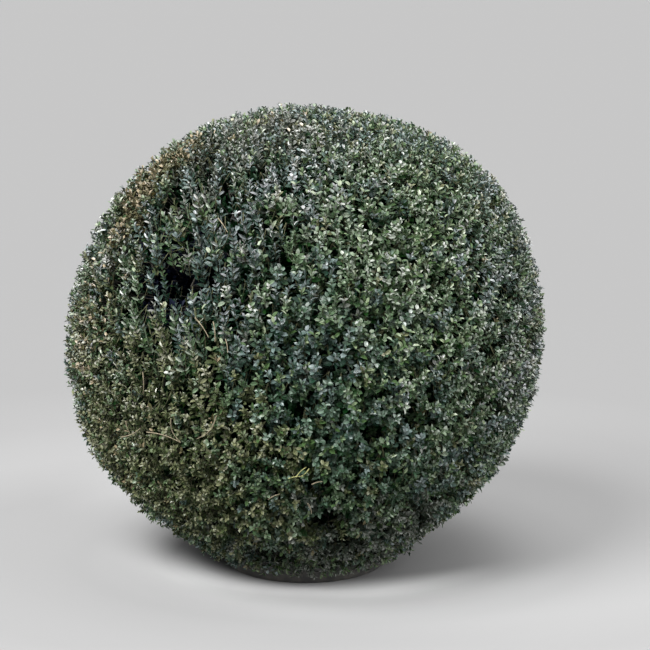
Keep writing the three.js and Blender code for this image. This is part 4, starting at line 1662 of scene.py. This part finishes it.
def roughen_soil(mesh):
    for corner in mesh.vertices:
        across = math.hypot(corner.co.x, corner.co.y)
        if corner.co.z > ROUGH_ABOVE and SOIL_FLAT_GIRTH < across < ROUGH_WITHIN:
            corner.co.z += SOIL_ROUGHNESS * (noise.noise(corner.co * ROUGH_GRAIN) - ROUGH_SINK)


# %% The tree that scatters crumbs
CRUMB_SPREAD = (0.4, 1.2)
CRUMB_FLATNESS = (1.0, 0.7, 0.5)
TUMBLE_AXIS = (1, 0.3, 0.2)
FULL_TURN = 6.3
FACING_UP = 0.6


def crumb_tree():
    inputs = {
        "Ground": ("Geometry", None),
        "Density": ("Float", 5000.0),
        "Size": ("Float", 0.004),
        "Crumb": ("Material", None),
        "Seed": ("Int", 4),
    }
    graph, take = new_tree("scatter crumbs", inputs)
    height = part_of(graph, graph.add("GeometryNodeInputNormal"), "Z")
    inputs = {
        "Mesh": take("Ground"),
        "Selection": graph.maths("GREATER_THAN", height, FACING_UP),
        "Density": take("Density"),
        "Seed": take("Seed"),
    }
    places = graph.add("GeometryNodeDistributePointsOnFaces", inputs, "Points")
    crumb = graph.add("GeometryNodeMeshIcoSphere", {"Radius": take("Size"), "Subdivisions": 1})
    size = random_number(graph, *CRUMB_SPREAD, take("Seed") + 1)
    tumble = random_number(graph, 0.0, FULL_TURN, take("Seed") + 2)
    turn = turned_about(graph, TUMBLE_AXIS, tumble)
    stretch = dict(zip("XYZ", (size * share for share in CRUMB_FLATNESS)))
    stretch = graph.add("ShaderNodeCombineXYZ", stretch)
    crumbs = put_on_points(graph, places, crumb, turn, stretch)
    return finish_tree(graph, made_real(graph, crumbs), take("Crumb"))


# %% Make the soil and its crumbs
MOIST_DARK = (0.02, 0.013, 0.009)
MOIST_LIGHT = (0.075, 0.05, 0.033)


def soil_material():
    material, graph = new_material("moist_soil")
    clods = cloudy(graph, object_place(graph), 120, 6.0, 0.7)
    wetness = between(graph, clods, 0.35, 0.7)
    colour = graph.mix(wetness, opaque(MOIST_DARK), opaque(MOIST_LIGHT))
    lumps = bumpy(graph, clods, 0.8, 0.003)
    finish_material(graph, {"Base Color": colour, "Roughness": 0.95, "Normal": lumps})
    return material


crumb_bark = make_bark_material("crumb_bark", (0.05, 0.03, 0.018), (0.16, 0.10, 0.06), 150)
soil_mesh = turned("soil", soil_outline(), SOIL_SIDES)
roughen_soil(soil_mesh)
smooth_by_angle(soil_mesh, 50)
crumbs_mesh = run_tree(crumb_tree(), soil_mesh.copy(), {"Crumb": crumb_bark})
soil_mesh.materials.append(soil_material())
link_piece("soil_body", soil_mesh, "soil", slot="soil")
link_piece("soil_crumbs", crumbs_mesh, "soil", slot="soil")

# %% [markdown]
# ## Bare twigs at the surface
#
# Here and there a pale dead twig shows among the leaves, and one yellow-green young one that forks.
# They could be left to the growth rule, but then they would show anywhere. So they are placed one
# by one, where the photograph has them, and lie just over the leaves.

# %% Lay the bare twigs
# Where each twig starts and ends, across and up, and how far it bends to its left.
DEAD_TWIGS = [
    (-0.460, 0.075, -0.404, -0.006, 0.004), (-0.384, 0.059, -0.377, -0.026, 0.003),
    (-0.333, -0.013, -0.324, -0.070, 0.002), (-0.373, -0.333, -0.454, -0.430, 0.019),
    (-0.664, -0.402, -0.523, -0.446, 0.009), (-0.563, -0.345, -0.524, -0.443, -0.015),
    (-0.770, -0.422, -0.690, -0.385, -0.008), (-0.750, -0.355, -0.735, -0.406, -0.003),
    (-0.681, -0.150, -0.679, -0.243, 0.003), (-0.157, -0.685, -0.109, -0.662, 0.003),
    (0.024, -0.622, 0.069, -0.610, 0.003), (0.008, -0.703, 0.024, -0.747, 0.004),
    (-0.365, 0.492, -0.325, 0.432, 0.002),
]
YOUNG_TWIGS = [
    (-0.072, -0.597, -0.011, -0.588, 0.004), (-0.040, -0.590, 0.002, -0.549, 0.004),
    (0.013, -0.556, -0.027, -0.590, 0.005),
]
BARE_GIRTHS = (0.0012, 0.0006)
BARE_STEPS = 6
BARE_SIDES = 5
BARE_GRAIN = 260
BARE_HEIGHT = 1.004


def bare_twig_path(foot_x, foot_y, tip_x, tip_y, bend):
    foot_girth, tip_girth = BARE_GIRTHS
    run, rise = tip_x - foot_x, tip_y - foot_y
    length = math.hypot(run, rise)
    path = []
    for step in range(BARE_STEPS + 1):
        share = step / BARE_STEPS
        bow = bend * math.sin(math.pi * share) / length
        direction = on_ball(foot_x + run * share - rise * bow, foot_y + rise * share + run * bow)
        girth = foot_girth + (tip_girth - foot_girth) * share
        path.append((shell_point(direction, BARE_HEIGHT), girth))
    return path


def lay_twigs(name, twigs, dark, light):
    material = make_bark_material(name + "_bark", dark, light, BARE_GRAIN)
    make_limbs(name, [bare_twig_path(*twig) for twig in twigs], BARE_SIDES, material)


lay_twigs("dead_twigs", DEAD_TWIGS, (0.11, 0.09, 0.055), (0.25, 0.21, 0.14))
lay_twigs("young_twigs", YOUNG_TWIGS, (0.16, 0.16, 0.05), (0.34, 0.34, 0.14))
print("pieces", len(triangles), "with", sum(triangles.values()), "triangles in all")

# %% Work out the boxes of both models
visual_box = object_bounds()
boxes = {"cad": cad_box, "visual": visual_box}
{name: [list(corner) for corner in box] for name, box in boxes.items()}
print("visual box", [round(side, 3) for side in visual_box[1] - visual_box[0]])
